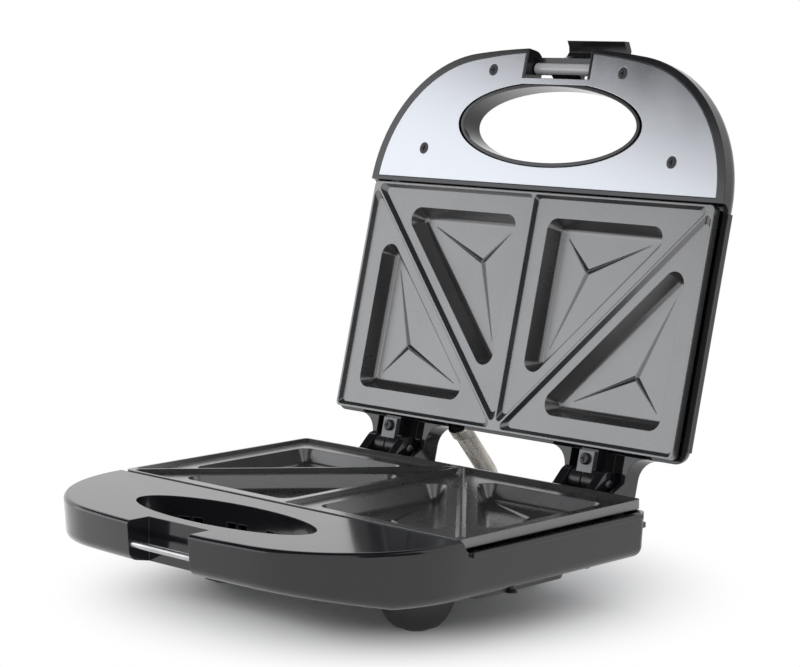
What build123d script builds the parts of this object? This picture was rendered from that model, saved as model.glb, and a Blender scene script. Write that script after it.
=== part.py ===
from build123d import *
import math
import os

# Sandwich toaster, open, in millimetres.
# While it is built, X is right, Y is back from the plate's front edge and Z is up from the
# crest of the lower plate's rim. The lid is drawn shut and the latch hooked, then both are
# swung to the open position at the end.

# Cooking plates
PLATE_W = 218.0
PLATE_D = 116.5
PLATE_CORNER = 2.5
CREST = 1.0
FLANK_RUN = 1.6
FLAT_DEPTH = 2.0
WEB = 2.2
POCKET_DEPTH = 9.2
POCKET_WALL_RUN = 4.0
POCKET_CORNER = 6.0
POCKET_FLOOR_CORNER = 2.0
POCKET_ROOT = 3.0          # rounding between pocket wall and floor
RIDGE_MARGIN = 6.9         # pocket edge to the slanted ridge line
CENTRE_MARGIN = 10.3       # pocket edge to the centre line
EDGE_MARGIN = 11.0         # pocket edge to the rim line
FLAT_CORNER = 2.0
CREASE_WIDTH = 2.6
CREASE_HEIGHT = 1.1
CREASE_TIP = 0.15          # size of a crease's tip, as a share of its root
CREASE_END = 8.5           # crease tip to the pocket corner, inset of its triangle
BOSS_RADIUS = 3.5
BOSS_INSET = 6.5
BOSS_REAR_INSET = 10.0
SEAT_DEPTH = 9.4           # plate crest to the foot of its corner bosses
PILOT_RADIUS = 1.25
PILOT_DEPTH = 5.0

# Overall
RIM_HEIGHT = 49.4          # crest of the lower plate above the table
HALF_WIDTH = PLATE_W / 2 + 3.8     # outer side of both housings
REACH = 71.0               # front of the handles, ahead of the plates
CORNER_RADIUS = 68.0       # plan radius of the handle corners
REAR_Y = PLATE_D + 1.5     # back wall of both housings
REAR_CORNER = 6.0
PLATE_GAP = 0.5            # between the two rims when shut
OPEN_ANGLE = 104.5
LATCH_SWING = 125.0

# Housings
WALL = 2.8
SKIN = 2.5                 # roof and handle top thickness
DRAFT = 1.5
RIM_STAND = 5.4            # plate crest above the housing ledge
HANDLE_SETBACK = 0.5       # plate crest to the handle face
STEP_Y = -1.0              # back face of the handles
STEP_RADIUS = 4.0
DIVIDER = 2.8
UNDERSIDE = 25.7           # rim crest to the flat underside
UNDERSIDE_FRONT = 17.5     # same, at the front of the handle
SLOPE_END_Y = -30.0
BASE_EDGE = 5.0
HANDLE_EDGE = 2.0
LIP = 1.2
LIP_HEIGHT = 2.0
ROOF = 12.5                # lid's rim crest to the slab roof
ROOF_EDGE = 7.0
ROOF_INNER_EDGE = 4.5
TAB = 11.5                 # corner flanges, back from the handle
TAB_WIDTH = 12.0

# Finger opening and latch notch
OVAL_Y = -33.2
OVAL_A = 55.3
OVAL_B = 18.8
OVAL_WALL = 1.8
NOTCH_HALF = 20.0
BASE_NOTCH_Y = 12.5 - REACH
LID_NOTCH_Y = 15.0 - REACH
VENT_W = 5.2
VENT_GAP = 1.6
VENT_PAIRS = (-0.69, -0.23, 0.23, 0.69)    # middles of the slot pairs, as shares of OVAL_A
VENT_CUT = 4.0             # how far the slots cut back past the oval
VENT_TOP = -9.5
VENT_BOTTOM = -18.0

# Bottom cover, pan and feet
COVER_T = 1.8
FIT = 0.3                  # gap between a cover and the wall around it
PAN_DEPTH = 2.8
PAN_DRAFT = 1.6
PAN_CORNER = 8.0
PAN = (HALF_WIDTH - 6.8, 12.0, PLATE_D - 42.5, PAN_CORNER)     # half width, front, back, corner radius
FOOT_TOP_R = 17.6
FOOT_CURVE_R = 20.35       # side of a front foot's bowl
FOOT_CURVE_IN = -3.3       # centre of that curve, out from the foot's middle
FOOT_CURVE_DROP = 6.6      # same, below the underside
FOOT_RIM_DROP = 22.0       # lower edge of the bowl, below the underside
FOOT_TIP_R = 7.2
FOOT_WALL = 2.0
FRONT_FOOT = (HALF_WIDTH - 50.3, 21.5)
REAR_FOOT = (39.5, REAR_Y - 0.5)   # under the rear wall, so that the open toaster stands
REAR_FOOT_R = 7.6
REAR_FOOT_TOP = -22.5
PAD_R = 5.8
PAD_T = 1.8
PAD_PROUD = 0.7
POST_R = 4.0
SIDE_POST_X = HALF_WIDTH - 7.3
SIDE_POSTS_Y = (PLATE_D * 0.3, PLATE_D * 0.7)
HANDLE_POST = (HALF_WIDTH - 32.8, -26.0)
POST_TOP = -10.0
POST_HOLE = 6.0            # cover screws reach this far into their posts

# Screws
SCREW_R = 1.5
SCREW_CLEARANCE = 0.2
HEAD_R = 2.75
HEAD_T = 1.6
CROSS_LENGTH = 3.0
CROSS_WIDTH = 0.7
CROSS_DEPTH = 0.9

# Heating
HEATER_R = 3.25
HEATER_GAP = 0.1
HEATER_HALF = PLATE_W / 2 - 29.0
HEATER_FRONT_Y = 28.0
HEATER_REAR_Y = PLATE_D - 38.5
HEATER_TAIL_X = 14.0
HEATER_TAIL_Y = PLATE_D - 25.5
HEATER_BEND = 10.0
INSULATOR_R = 4.4
INSULATOR_L = 4.0
COLD_PIN_R = 1.2
COLD_PIN_L = 7.0
CLAMP_W = 12.0
CLAMP_T = 1.2
CLAMP_OVERHANG = 7.0
SHIELD_T = 0.6
SHIELD_DEPTH = 22.4
SHIELD_TOP = (PLATE_W / 2 - 8.0, 6.0, PLATE_D - 8.5, 9.0)
SHIELD_FLOOR = (PLATE_W / 2 - 25.0, 21.0, PLATE_D - 22.5, 8.0)
EAR_INNER = 6.0            # ears reach this far in from the boss, out, and along
EAR_OUTER = 2.0
EAR_REACH = 4.0
EAR_INWARD = 7.5

# Lid cover
OPENING = (HALF_WIDTH - 9.8, 3.0, REAR_Y - 9.0)    # half width, front, back of the hole in the roof
COVER_FOOT = (HALF_WIDTH - 7.8, -0.5, REAR_Y - 7.5, 14.0)
COVER_CROWN = (HALF_WIDTH - 28.8, 20.0, REAR_Y - 21.0, 12.0)
COVER_RISE = 14.0
COVER_SIDE_WALL = 4.25     # level thickness of the cover's sloping sides
CROWN_EDGE = 10.0
LOCATING_RIB = 2.0
LOCATING_RIB_T = 1.2

# Handle panel of the lid
PANEL_T = 1.0
PANEL_MARGIN = 4.6         # side of the housing to the panel
PANEL_FRONT_MARGIN = 2.0
PANEL_HALF = HALF_WIDTH - PANEL_MARGIN
PANEL_REACH = REACH - PANEL_FRONT_MARGIN
PANEL_CORNER = CORNER_RADIUS - 3.0
PANEL_BACK_Y = STEP_Y - 2.3
PANEL_FIT = 0.15
PANEL_LEDGE = 2.0
PANEL_OVAL = (OVAL_A + 3.4, OVAL_B + 2.2)
BRIDGE_BACK_Y = LID_NOTCH_Y + 3.1
PANEL_SCREWS = ((41.4, 11.5 - REACH), (PANEL_HALF - 28.7, -18.4))
PANEL_SCREW_L = 8.0

# Latch
PIVOT_Y = 9.0 - REACH
PIVOT_Z = PLATE_GAP + 8.3
BARREL_R = 3.0
BARREL_HALF = NOTCH_HALF - 0.8
LATCH_HALF = NOTCH_HALF - 1.7
AXLE_R = 1.25
AXLE_FIT = 0.05
ARM_T = 2.7
ARM_OFFSET = 5.6           # axle to the inner face of the arm
ARM_BACK = 0.5             # arm starts this far behind the axle
HOOK = ((1.55, -2.7), (5.95, -0.6), (7.45, 3.6), (5.45, 8.2), (1.75, 8.4), (3.15, 5.4),
        (3.25, 2.6), (1.45, 0.6), (-0.95, 0.0))    # past the catch pin, and in from the arm
CATCH_IN = 3.46            # catch pin's middle, in from the arm's inner face
HEEL_R = 6.4
HEEL_ANGLE = 26.0
HEEL_SPREAD = 57.0         # half angle of the heel's root on the barrel
CATCH_Y = 3.5 - REACH
CATCH_Z = -11.0
CATCH_R = 1.6
PIN_FIT = 0.02

# Hinges
HINGE_Y = REAR_Y + 14.2
HINGE_Z = -0.4
HINGE_X = HALF_WIDTH - 48.8
PIN_R = 2.0
PIN_PROUD = 0.5
RUNNING = 0.05             # radial clearance of the hinge pin
KNUCKLE_R = 6.0
BARREL_OUTER_R = 5.4
BARREL_L = 7.0
KNUCKLE_GAP = 0.4
KNUCKLE_L = 5.0
KNUCKLE_ROOT_Z = -17.0     # foot of the knuckle arms on the back wall
LEAF_T = 2.0
LEAF_W = 9.0
LEAF_DROP = 3.9
LEAF_REACH = 13.8
LEAF_OVERLAP = 1.6         # leaf under the barrels
LEAF_SETBACK = 2.6         # back edge of the leaf to the axis
BRACKET_BOSS_W = 10.0
BRACKET_SCREW_Y = -9.9     # behind the axis, along the leaf
BRACKET_SCREW_L = 10.0
BRACKET_BORE = 12.0
HOOD_HALF = 18.5
HOOD_WALL = 2.5
HOOD_FLARE = 10.0
HOOD_BACK = 12.0
HOOD_TIP = 11.2
HOOD_CORNER = 6.0
HOOD_CLEAR = 4.0           # lower edge of a hood's sides above the axis
HOOD_SLOPE = ((-2.0, 4.0), (3.0, -2.0), (9.0, -11.2))      # lower edge, from the axis
SLOT_SIDE = 0.6
SLOT_TOP = -1.0

# Conduit
HOSE_X = -29.0
HOSE_R = 4.8
HOSE_ROOT_R = 4.3
HOSE_BORE_R = 3.5
HOSE_PITCH = 1.25
HOSE_LAND = 0.3
LID_EXIT = (REAR_Y + 0.5, PLATE_GAP + 9.95, 53.3)  # y, z and angle of the conduit at the lid
BASE_EXIT = (REAR_Y + 0.5, -14.0, -30.0)
LID_STRAIGHT = 28.0        # conduit outside the lid, before its bend
HOSE_GRIP = 3.0
GLAND_R = 5.7
GLAND_BACK = 4.0
GLAND_FLANGE_T = 1.5
GLAND_BOSS_R = 6.9
GLAND_BOSS_L = 2.8
FERRULE = (-3.4, 1.2)      # ends of the lid's ferrule, out from the conduit's exit
FERRULE_GROOVES = (-1.6, -0.5, 0.6)
FERRULE_GROOVE = (0.45, 0.35)      # width and depth
GLAND_BORE = 12.0          # length of the gland's hole each way from the wall
HOSE_FIT = 0.1

# Electrical pieces
CORD_X = 21.0
CORD_Z = -15.5
CORD_GLAND_R = 6.0
CORD_BORE_R = 3.5
CORD_FLANGE_R = 8.0
CORD_FLANGE_T = 2.5
TERMINAL_SIZE = (26.0, 7.0, 9.0)
TERMINAL_CENTRE = (52.0, REAR_Y - 8.4)
TERMINAL_WELL_R = 2.0
THERMOSTAT_R = 7.0
THERMOSTAT_T = 8.0
THERMOSTAT_Y = 48.0
THERMOSTAT_CAP_R = 4.9
THERMOSTAT_CAP_T = 2.0
BLADE = (0.8, 4.8, 5.0)    # thickness, width and length of a terminal blade
BLADE_X = 3.0
BLADE_ROOT = 1.0           # length of a blade inside the cap
FUSE_R = 2.0
FUSE_L = 12.0
FUSE_Y = 72.0
LENS_X = 9.0
LENS_Y = -7.9
LENS_HEAD_R = 3.6
LENS_HEAD_T = 1.4
LENS_DOME = 1.1
LENS_SLEEVE_R = 2.9
LENS_SLEEVE_L = 4.5
LAMP_R = 2.0
LAMP_L = 6.5
LAMP_FIT = 0.1

# Places worked out from the sizes above
FAR = 2 * PLATE_W
HANDLE_TOP = -HANDLE_SETBACK
LEDGE = -RIM_STAND
SEAT_Z = -SEAT_DEPTH
FLANGE_Z = SEAT_Z - SHIELD_T
LID_FACE = PLATE_GAP + HANDLE_SETBACK
LID_LEDGE = PLATE_GAP + RIM_STAND
ROOF_Z = PLATE_GAP + ROOF
PLATE_UNDER = -(FLAT_DEPTH + WEB)
HEATER_Z = -(POCKET_DEPTH + WEB + HEATER_GAP + HEATER_R)
CLAMP_Z = HEATER_Z - HEATER_R - HEATER_GAP / 2
BOSS_X = PLATE_W / 2 - BOSS_INSET
BOSS_YS = (BOSS_INSET, PLATE_D - BOSS_REAR_INSET)
RIM_X = (PLATE_W - CREST) / 2
RIM_FRONT = CREST / 2
RIM_BACK = PLATE_D - CREST / 2
CLAMP_BOSS = (RIM_X / 2, (RIM_FRONT + RIM_BACK) / 2)
CROWN_Z = ROOF_Z + COVER_RISE
KNUCKLE_X = BARREL_L + 2 * KNUCKLE_GAP
TOLERANCE = 0.01           # for telling edges apart by their place


# ---------------------------------------------------------------- helpers

def box(x0, x1, y0, y1, z0, z1):
    """Block between two corners."""
    centre = Pos((x0 + x1) / 2, (y0 + y1) / 2, (z0 + z1) / 2)
    return centre * Box(x1 - x0, y1 - y0, z1 - z0)


def rod(radius, start, end):
    """Round bar from one point to another."""
    axis = Vector(*end) - Vector(*start)
    plane = Plane(origin=start, z_dir=axis)
    return Solid.make_cylinder(radius, axis.length, plane)


def prism_x(points, x0, x1):
    """Side profile of (y, z) points, drawn out from x0 to x1."""
    face = Plane.YZ.offset(x0) * make_face(Polyline(*points, close=True))
    return extrude(face, amount=x1 - x0, dir=(1, 0, 0))


def both_sides(shape):
    """A piece and its mirror image across the middle."""
    return [shape, mirror(shape, about=Plane.YZ)]


def fuse_all(shapes):
    """All the shapes as one body."""
    total = shapes[0]
    for shape in shapes[1:]:
        total = total + shape
    return total


def moved_sides(corners, insets):
    """Corners (anticlockwise) after the side from corner i to i + 1 moves in by insets[i]."""
    sides = []
    for index, inset in enumerate(insets):
        start = Vector(*corners[index])
        along = (Vector(*corners[(index + 1) % len(corners)]) - start).normalized()
        sides.append((start + Vector(-along.Y, along.X) * inset, along))
    moved = []
    for (p, u), (q, v) in zip(sides[-1:] + sides[:-1], sides):
        reach = (q - p).cross(v).Z / u.cross(v).Z
        moved.append(p + u * reach)
    return moved


def rounded_face(corners, radius, z):
    """Flat face with rounded corners at height z."""
    outline = FilletPolyline(*[(p.X, p.Y) for p in corners], radius=radius, close=True)
    return Pos(0, 0, z) * make_face(outline)


def rectangle_face(size, z, inset=0.0):
    """Rounded rectangle from (half width, front, back, corner radius)."""
    half, front, back, radius = size
    corners = [Vector(-half, front), Vector(half, front), Vector(half, back), Vector(-half, back)]
    return rounded_face(moved_sides([(p.X, p.Y) for p in corners], [inset] * 4), radius - inset, z)


def front_outline(inset, z, half=HALF_WIDTH, reach=REACH, corner=CORNER_RADIUS, back=REAR_Y):
    """Face of the housing outline: round front corners joined by one shallow arc."""
    side = half - inset
    front = reach - inset
    radius = corner - inset
    centre_x = half - corner
    front_radius = (front ** 2 + centre_x ** 2 - radius ** 2) / (2 * (front - radius))
    turn = math.atan2(front_radius - front, centre_x)
    rear = back - inset
    rear_radius = REAR_CORNER - min(inset, REAR_CORNER / 2)
    bevel = rear_radius * (1 - math.sqrt(0.5))

    def on_corner(sign, angle):
        return (sign * (centre_x + radius * math.cos(angle)), -radius * math.sin(angle))

    edges = [
        ThreePointArc((side, 0), on_corner(1, turn / 2), on_corner(1, turn)),
        ThreePointArc(on_corner(1, turn), (0, -front), on_corner(-1, turn)),
        ThreePointArc(on_corner(-1, turn), on_corner(-1, turn / 2), (-side, 0)),
        Line((-side, 0), (-side, rear - rear_radius)),
        ThreePointArc((-side, rear - rear_radius), (-side + bevel, rear - bevel),
                      (-side + rear_radius, rear)),
        Line((-side + rear_radius, rear), (side - rear_radius, rear)),
        ThreePointArc((side - rear_radius, rear), (side - bevel, rear - bevel),
                      (side, rear - rear_radius)),
        Line((side, rear - rear_radius), (side, 0)),
    ]
    return Pos(0, 0, z) * Face(Wire(edges))


def outline_prism(inset, z0, z1):
    """Upright block on the housing outline."""
    return extrude(front_outline(inset, z0), amount=z1 - z0, dir=(0, 0, 1))


def oval(grow, z0, z1, a=OVAL_A, b=OVAL_B):
    """Upright oval block around the finger opening."""
    face = Pos(0, OVAL_Y, z0) * make_face(Ellipse(a + grow, b + grow).edges())
    return extrude(face, amount=z1 - z0, dir=(0, 0, 1))


def flat_screw(length, radius=SCREW_R):
    """Countersunk cross-head screw, head face at the origin, shank along -Z."""
    head = Pos(0, 0, -HEAD_T / 2) * Cone(radius, HEAD_R, HEAD_T)
    shank = Pos(0, 0, -length / 2) * Cylinder(radius, length)
    slot = Pos(0, 0, -CROSS_DEPTH / 2) * Box(CROSS_LENGTH, CROSS_WIDTH, CROSS_DEPTH)
    return head + shank - slot - Rot(0, 0, 90) * slot


def pan_screw(length, radius=SCREW_R):
    """Raised cross-head screw, seat of the head at the origin, shank along -Z."""
    head = Pos(0, 0, HEAD_T / 2) * Cylinder(HEAD_R, HEAD_T)
    head = chamfer(head.edges().group_by(Axis.Z)[-1], HEAD_T / 3)
    shank = Pos(0, 0, -length / 2) * Cylinder(radius, length)
    slot = Pos(0, 0, HEAD_T - CROSS_DEPTH / 2) * Box(CROSS_LENGTH, CROSS_WIDTH, CROSS_DEPTH)
    return head + shank - slot - Rot(0, 0, 90) * slot


def flat_screw_hole(depth, radius=SCREW_R):
    """Clearance for a countersunk screw whose head face is at the origin."""
    head = Pos(0, 0, -HEAD_T / 2) * Cone(radius + SCREW_CLEARANCE, HEAD_R + SCREW_CLEARANCE, HEAD_T)
    return head + Pos(0, 0, -depth / 2) * Cylinder(radius + SCREW_CLEARANCE, depth)


def turned_over(shape):
    """From the lower half to the matching place in the shut lid."""
    return Pos(0, 0, PLATE_GAP) * Rot(0, 180, 0) * shape


def about_hinge(shape, angle):
    """Swing about the hinge axis."""
    return Pos(0, HINGE_Y, HINGE_Z) * Rot(angle, 0, 0) * Pos(0, -HINGE_Y, -HINGE_Z) * shape


def about_latch(shape, angle):
    """Swing about the latch axle of the shut lid."""
    return Pos(0, PIVOT_Y, PIVOT_Z) * Rot(angle, 0, 0) * Pos(0, -PIVOT_Y, -PIVOT_Z) * shape


# ---------------------------------------------------------------- cooking plates

def plate_cells():
    """Right-hand triangles between rim and ridge lines, and the pocket margins of their sides."""
    apex = (0, RIM_BACK)
    corner = (RIM_X, RIM_FRONT)
    inner = [(0, RIM_FRONT), corner, apex]
    outer = [corner, (RIM_X, RIM_BACK), apex]
    return [
        (inner, (EDGE_MARGIN, RIDGE_MARGIN, CENTRE_MARGIN)),
        (outer, (EDGE_MARGIN, EDGE_MARGIN, RIDGE_MARGIN)),
    ]


def pocket_corners(cell, margins, inset):
    """Corners of a pocket's triangle, moved in by an even inset."""
    return moved_sides(cell, [margin + inset for margin in margins])


def pocket_tool(cell, margins):
    """The hollow of one pocket."""
    top = rounded_face(pocket_corners(cell, margins, 0), POCKET_CORNER, -FLAT_DEPTH)
    floor = rounded_face(pocket_corners(cell, margins, POCKET_WALL_RUN),
                         POCKET_FLOOR_CORNER, -POCKET_DEPTH)
    hollow = loft([top, floor], ruled=True)
    return fillet(hollow.edges().group_by(Axis.Z)[0], POCKET_ROOT)


def pocket_bulge(cell, margins):
    """The back of one pocket, under the plate."""
    top = rounded_face(pocket_corners(cell, margins, -WEB), POCKET_CORNER + WEB, -FLAT_DEPTH)
    floor = rounded_face(pocket_corners(cell, margins, POCKET_WALL_RUN - WEB),
                         POCKET_FLOOR_CORNER + WEB, -POCKET_DEPTH - WEB)
    return loft([top, floor], ruled=True)


def flat_tool(cell):
    """The shallow recess between the ridges."""
    top = moved_sides(cell, [CREST / 2] * 3)
    floor = moved_sides(cell, [CREST / 2 + FLANK_RUN] * 3)
    faces = [rounded_face(top, FLAT_CORNER, 0), rounded_face(floor, FLAT_CORNER, -FLAT_DEPTH)]
    return loft(faces, ruled=True)


def crease_arm(centre, end):
    """One tapered rib on a pocket floor, from the meeting point to its tip."""
    along = end - centre
    sections = []
    for place, scale in ((centre, 1.0), (end, CREASE_TIP)):
        plane = Plane(origin=(place.X, place.Y, -POCKET_DEPTH), x_dir=(-along.Y, along.X, 0),
                      z_dir=(along.X, along.Y, 0))
        half = CREASE_WIDTH / 2 * scale
        height = CREASE_HEIGHT * scale
        points = [(-half, -WEB / 4), (half, -WEB / 4), (half, 0), (0, height), (-half, 0)]
        if plane.y_dir.Z < 0:
            points = [(x, -y) for x, y in points]
        sections.append(plane * make_face(Polyline(*points, close=True)))
    return loft(sections, ruled=True)


def creases(cell, margins):
    """The three ribs that meet on a pocket floor."""
    corners = pocket_corners(cell, margins, POCKET_WALL_RUN)
    ends = pocket_corners(cell, margins, CREASE_END)
    sides = [(corners[(i + 2) % 3] - corners[(i + 1) % 3]).length for i in range(3)]
    centre = Vector(0, 0, 0)
    for corner, side in zip(corners, sides):
        centre = centre + corner * (side / sum(sides))
    return [crease_arm(centre, end) for end in ends]


def cooking_plate():
    """Cast plate with a rim, ridges, four triangular pockets and bosses on its back."""
    outline = (PLATE_W / 2, 0, PLATE_D, PLATE_CORNER)
    plate = extrude(rectangle_face(outline, PLATE_UNDER), amount=-PLATE_UNDER, dir=(0, 0, 1))
    for cell, margins in plate_cells():
        for bulge in both_sides(pocket_bulge(cell, margins)):
            plate = plate + bulge
    for x in (-BOSS_X, BOSS_X):
        for y in BOSS_YS:
            plate = plate + rod(BOSS_RADIUS, (x, y, SEAT_Z), (x, y, PLATE_UNDER / 2))
    for x in (-CLAMP_BOSS[0], CLAMP_BOSS[0]):
        plate = plate + rod(BOSS_RADIUS, (x, CLAMP_BOSS[1], CLAMP_Z),
                            (x, CLAMP_BOSS[1], PLATE_UNDER / 2))
    for cell, margins in plate_cells():
        for flat in both_sides(flat_tool(cell)):
            plate = plate - flat
        for hollow in both_sides(pocket_tool(cell, margins)):
            plate = plate - hollow
        for arm in creases(cell, margins):
            for rib in both_sides(arm):
                plate = plate + rib
    for x in (-BOSS_X, BOSS_X):
        for y in BOSS_YS:
            plate = plate - rod(PILOT_RADIUS, (x, y, SEAT_Z), (x, y, SEAT_Z + PILOT_DEPTH))
    for x in (-CLAMP_BOSS[0], CLAMP_BOSS[0]):
        plate = plate - rod(PILOT_RADIUS, (x, CLAMP_BOSS[1], CLAMP_Z),
                            (x, CLAMP_BOSS[1], CLAMP_Z + PILOT_DEPTH))
    return plate


def plate_screws():
    """Four countersunk screws, up through the flanges into the corner bosses."""
    face = FLANGE_Z - SKIN
    length = SKIN + SHIELD_T + PILOT_DEPTH - FIT
    screw = Rot(180, 0, 0) * flat_screw(length, PILOT_RADIUS)
    return [Pos(x, y, face) * screw for x in (-BOSS_X, BOSS_X) for y in BOSS_YS]


# ---------------------------------------------------------------- heating

def heating_element():
    """Tubular element bent into an open ring under the pockets, with a pin at each end."""
    path = FilletPolyline(
        (-HEATER_TAIL_X, HEATER_TAIL_Y, HEATER_Z),
        (-HEATER_TAIL_X, HEATER_REAR_Y, HEATER_Z),
        (-HEATER_HALF, HEATER_REAR_Y, HEATER_Z),
        (-HEATER_HALF, HEATER_FRONT_Y, HEATER_Z),
        (HEATER_HALF, HEATER_FRONT_Y, HEATER_Z),
        (HEATER_HALF, HEATER_REAR_Y, HEATER_Z),
        (HEATER_TAIL_X, HEATER_REAR_Y, HEATER_Z),
        (HEATER_TAIL_X, HEATER_TAIL_Y, HEATER_Z),
        radius=HEATER_BEND)
    start = Plane(origin=path @ 0, z_dir=path % 0)
    element = sweep(start * Circle(HEATER_R), path=path)
    for x in (-HEATER_TAIL_X, HEATER_TAIL_X):
        element = element + rod(COLD_PIN_R, (x, HEATER_TAIL_Y - HEATER_R, HEATER_Z),
                                (x, HEATER_TAIL_Y + COLD_PIN_L, HEATER_Z))
    return element


def heater_insulators():
    """Ceramic beads on the two ends of the element."""
    beads = []
    for x in (-HEATER_TAIL_X, HEATER_TAIL_X):
        start = (x, HEATER_TAIL_Y, HEATER_Z)
        end = (x, HEATER_TAIL_Y + INSULATOR_L, HEATER_Z)
        beads.append(rod(INSULATOR_R, start, end) - rod(COLD_PIN_R + PIN_FIT, start, end))
    return beads


def heater_clamps():
    """Two steel strips that hold the element against the plate."""
    strips = []
    for x in (-CLAMP_BOSS[0], CLAMP_BOSS[0]):
        strip = box(x - CLAMP_W / 2, x + CLAMP_W / 2, HEATER_FRONT_Y - CLAMP_OVERHANG,
                    HEATER_REAR_Y + CLAMP_OVERHANG, CLAMP_Z - CLAMP_T, CLAMP_Z)
        hole = rod(PILOT_RADIUS + SCREW_CLEARANCE, (x, CLAMP_BOSS[1], CLAMP_Z - CLAMP_T),
                   (x, CLAMP_BOSS[1], CLAMP_Z))
        strips.append(strip - hole)
    return strips


def clamp_screws():
    """Raised screws through the strips into the bosses under the ridges."""
    screw = Rot(180, 0, 0) * pan_screw(CLAMP_T + PILOT_DEPTH - FIT, PILOT_RADIUS)
    return [Pos(x, CLAMP_BOSS[1], CLAMP_Z - CLAMP_T) * screw
            for x in (-CLAMP_BOSS[0], CLAMP_BOSS[0])]


def heat_shield():
    """Thin tray behind the plate, hung from four ears under the corner bosses."""
    outer = loft([rectangle_face(SHIELD_FLOOR, -SHIELD_DEPTH), rectangle_face(SHIELD_TOP, SEAT_Z)],
                 ruled=True)
    inner = loft([rectangle_face(SHIELD_FLOOR, -SHIELD_DEPTH + SHIELD_T, SHIELD_T),
                  rectangle_face(SHIELD_TOP, SEAT_Z + SHIELD_T, SHIELD_T)], ruled=True)
    tray = outer
    for x in (1, -1):
        for y in BOSS_YS:
            x0, x1 = sorted((x * (BOSS_X - EAR_INNER), x * (BOSS_X + EAR_OUTER)))
            front_reach, back_reach = EAR_REACH, EAR_INWARD
            if y > PLATE_D / 2:
                front_reach, back_reach = EAR_INWARD, EAR_REACH
            tray = tray + box(x0, x1, y - front_reach, y + back_reach, FLANGE_Z, SEAT_Z)
            tray = tray - rod(SCREW_R + SCREW_CLEARANCE, (x * BOSS_X, y, FLANGE_Z),
                              (x * BOSS_X, y, SEAT_Z))
    return tray - inner


def thermostat():
    """Snap-disc thermostat on the back of the plate, between the two inner pockets."""
    body = rod(THERMOSTAT_R, (0, THERMOSTAT_Y, PLATE_UNDER - THERMOSTAT_T),
               (0, THERMOSTAT_Y, PLATE_UNDER))
    under = PLATE_UNDER - THERMOSTAT_T
    cap = rod(THERMOSTAT_CAP_R, (0, THERMOSTAT_Y, under - THERMOSTAT_CAP_T), (0, THERMOSTAT_Y, under))
    blade = Box(*BLADE, align=(Align.CENTER, Align.CENTER, Align.MAX))
    for x in (-BLADE_X, BLADE_X):
        cap = cap + Pos(x, THERMOSTAT_Y, under - BLADE_ROOT) * blade
    return body + cap


def thermal_fuse():
    """Small one-shot cut-out lying along the back of the plate."""
    z = PLATE_UNDER - FUSE_R
    body = rod(FUSE_R, (0, FUSE_Y - FUSE_L / 2, z), (0, FUSE_Y + FUSE_L / 2, z))
    lead = rod(FUSE_R / 4, (0, FUSE_Y - FUSE_L, z), (0, FUSE_Y + FUSE_L, z))
    return body + lead


# ---------------------------------------------------------------- lower housing

def above_underside(lift):
    """Everything above the underside, which slopes up towards the front of the handle."""
    slope = (UNDERSIDE - UNDERSIDE_FRONT) / (SLOPE_END_Y + REACH)
    front_z = -UNDERSIDE + lift + slope * (SLOPE_END_Y + FAR)
    flat_z = -UNDERSIDE + lift
    return prism_x([(-FAR, front_z), (SLOPE_END_Y, flat_z), (FAR, flat_z), (FAR, FAR), (-FAR, FAR)],
                   -FAR, FAR)


def base_block(inset):
    """Drafted block of the lower housing, smaller all round by the inset."""
    top = front_outline(inset, HANDLE_TOP)
    bottom = front_outline(inset + DRAFT, -UNDERSIDE)
    return loft([bottom, top], ruled=True)


def base_outer():
    """Outside of the lower half: rounded below, stepped down behind the handle."""
    block = base_block(0) & above_underside(0)
    below = [edge for edge in block.edges()
             if edge.center().Z < -UNDERSIDE_FRONT + DRAFT and not is_inner_seam(edge)]
    block = fillet(below, BASE_EDGE)
    step = step_tool(LEDGE, HANDLE_TOP + 1)
    return block - step


def is_inner_seam(edge):
    """True for the crease across the underside where the slope ends."""
    return abs(edge.center().Y - SLOPE_END_Y) < TOLERANCE and abs(edge.center().X) < TOLERANCE


def step_tool(ledge, clear):
    """Removes what stands above a ledge behind the handle, with a rounded inner corner."""
    sign = 1 if clear > ledge else -1
    corner = (STEP_Y + STEP_RADIUS, ledge)
    middle = STEP_RADIUS * (1 - math.sqrt(0.5))
    outline = [
        ThreePointArc((STEP_Y, ledge + sign * STEP_RADIUS),
                      (STEP_Y + middle, ledge + sign * middle), corner),
        Line(corner, (FAR, ledge)),
        Line((FAR, ledge), (FAR, clear)),
        Line((FAR, clear), (STEP_Y, clear)),
        Line((STEP_Y, clear), (STEP_Y, ledge + sign * STEP_RADIUS)),
    ]
    return extrude(Plane.YZ.offset(-FAR) * Face(Wire(outline)), amount=2 * FAR, dir=(1, 0, 0))


def lip_ring(z0, z1):
    """Bead along both sides of a housing, at its ledge."""
    ring = outline_prism(-LIP, z0, z1) - outline_prism(WALL / 2, z0 - 1, z1 + 1)
    ring = ring & box(-FAR, FAR, STEP_Y + STEP_RADIUS, REAR_Y - REAR_CORNER, z0, z1)
    return ring


def corner_tabs(z0, z1):
    """Flanges in the four corners that the plates are screwed to."""
    tabs = []
    inner = HALF_WIDTH - WALL / 2 - TAB_WIDTH
    for y0, y1 in ((STEP_Y - DIVIDER / 2, TAB), (BOSS_YS[1] - EAR_REACH, REAR_Y - WALL / 2)):
        for tab in both_sides(box(inner, HALF_WIDTH - WALL / 2, y0, y1, z0, z1)):
            tabs.append(tab)
    return tabs


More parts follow.
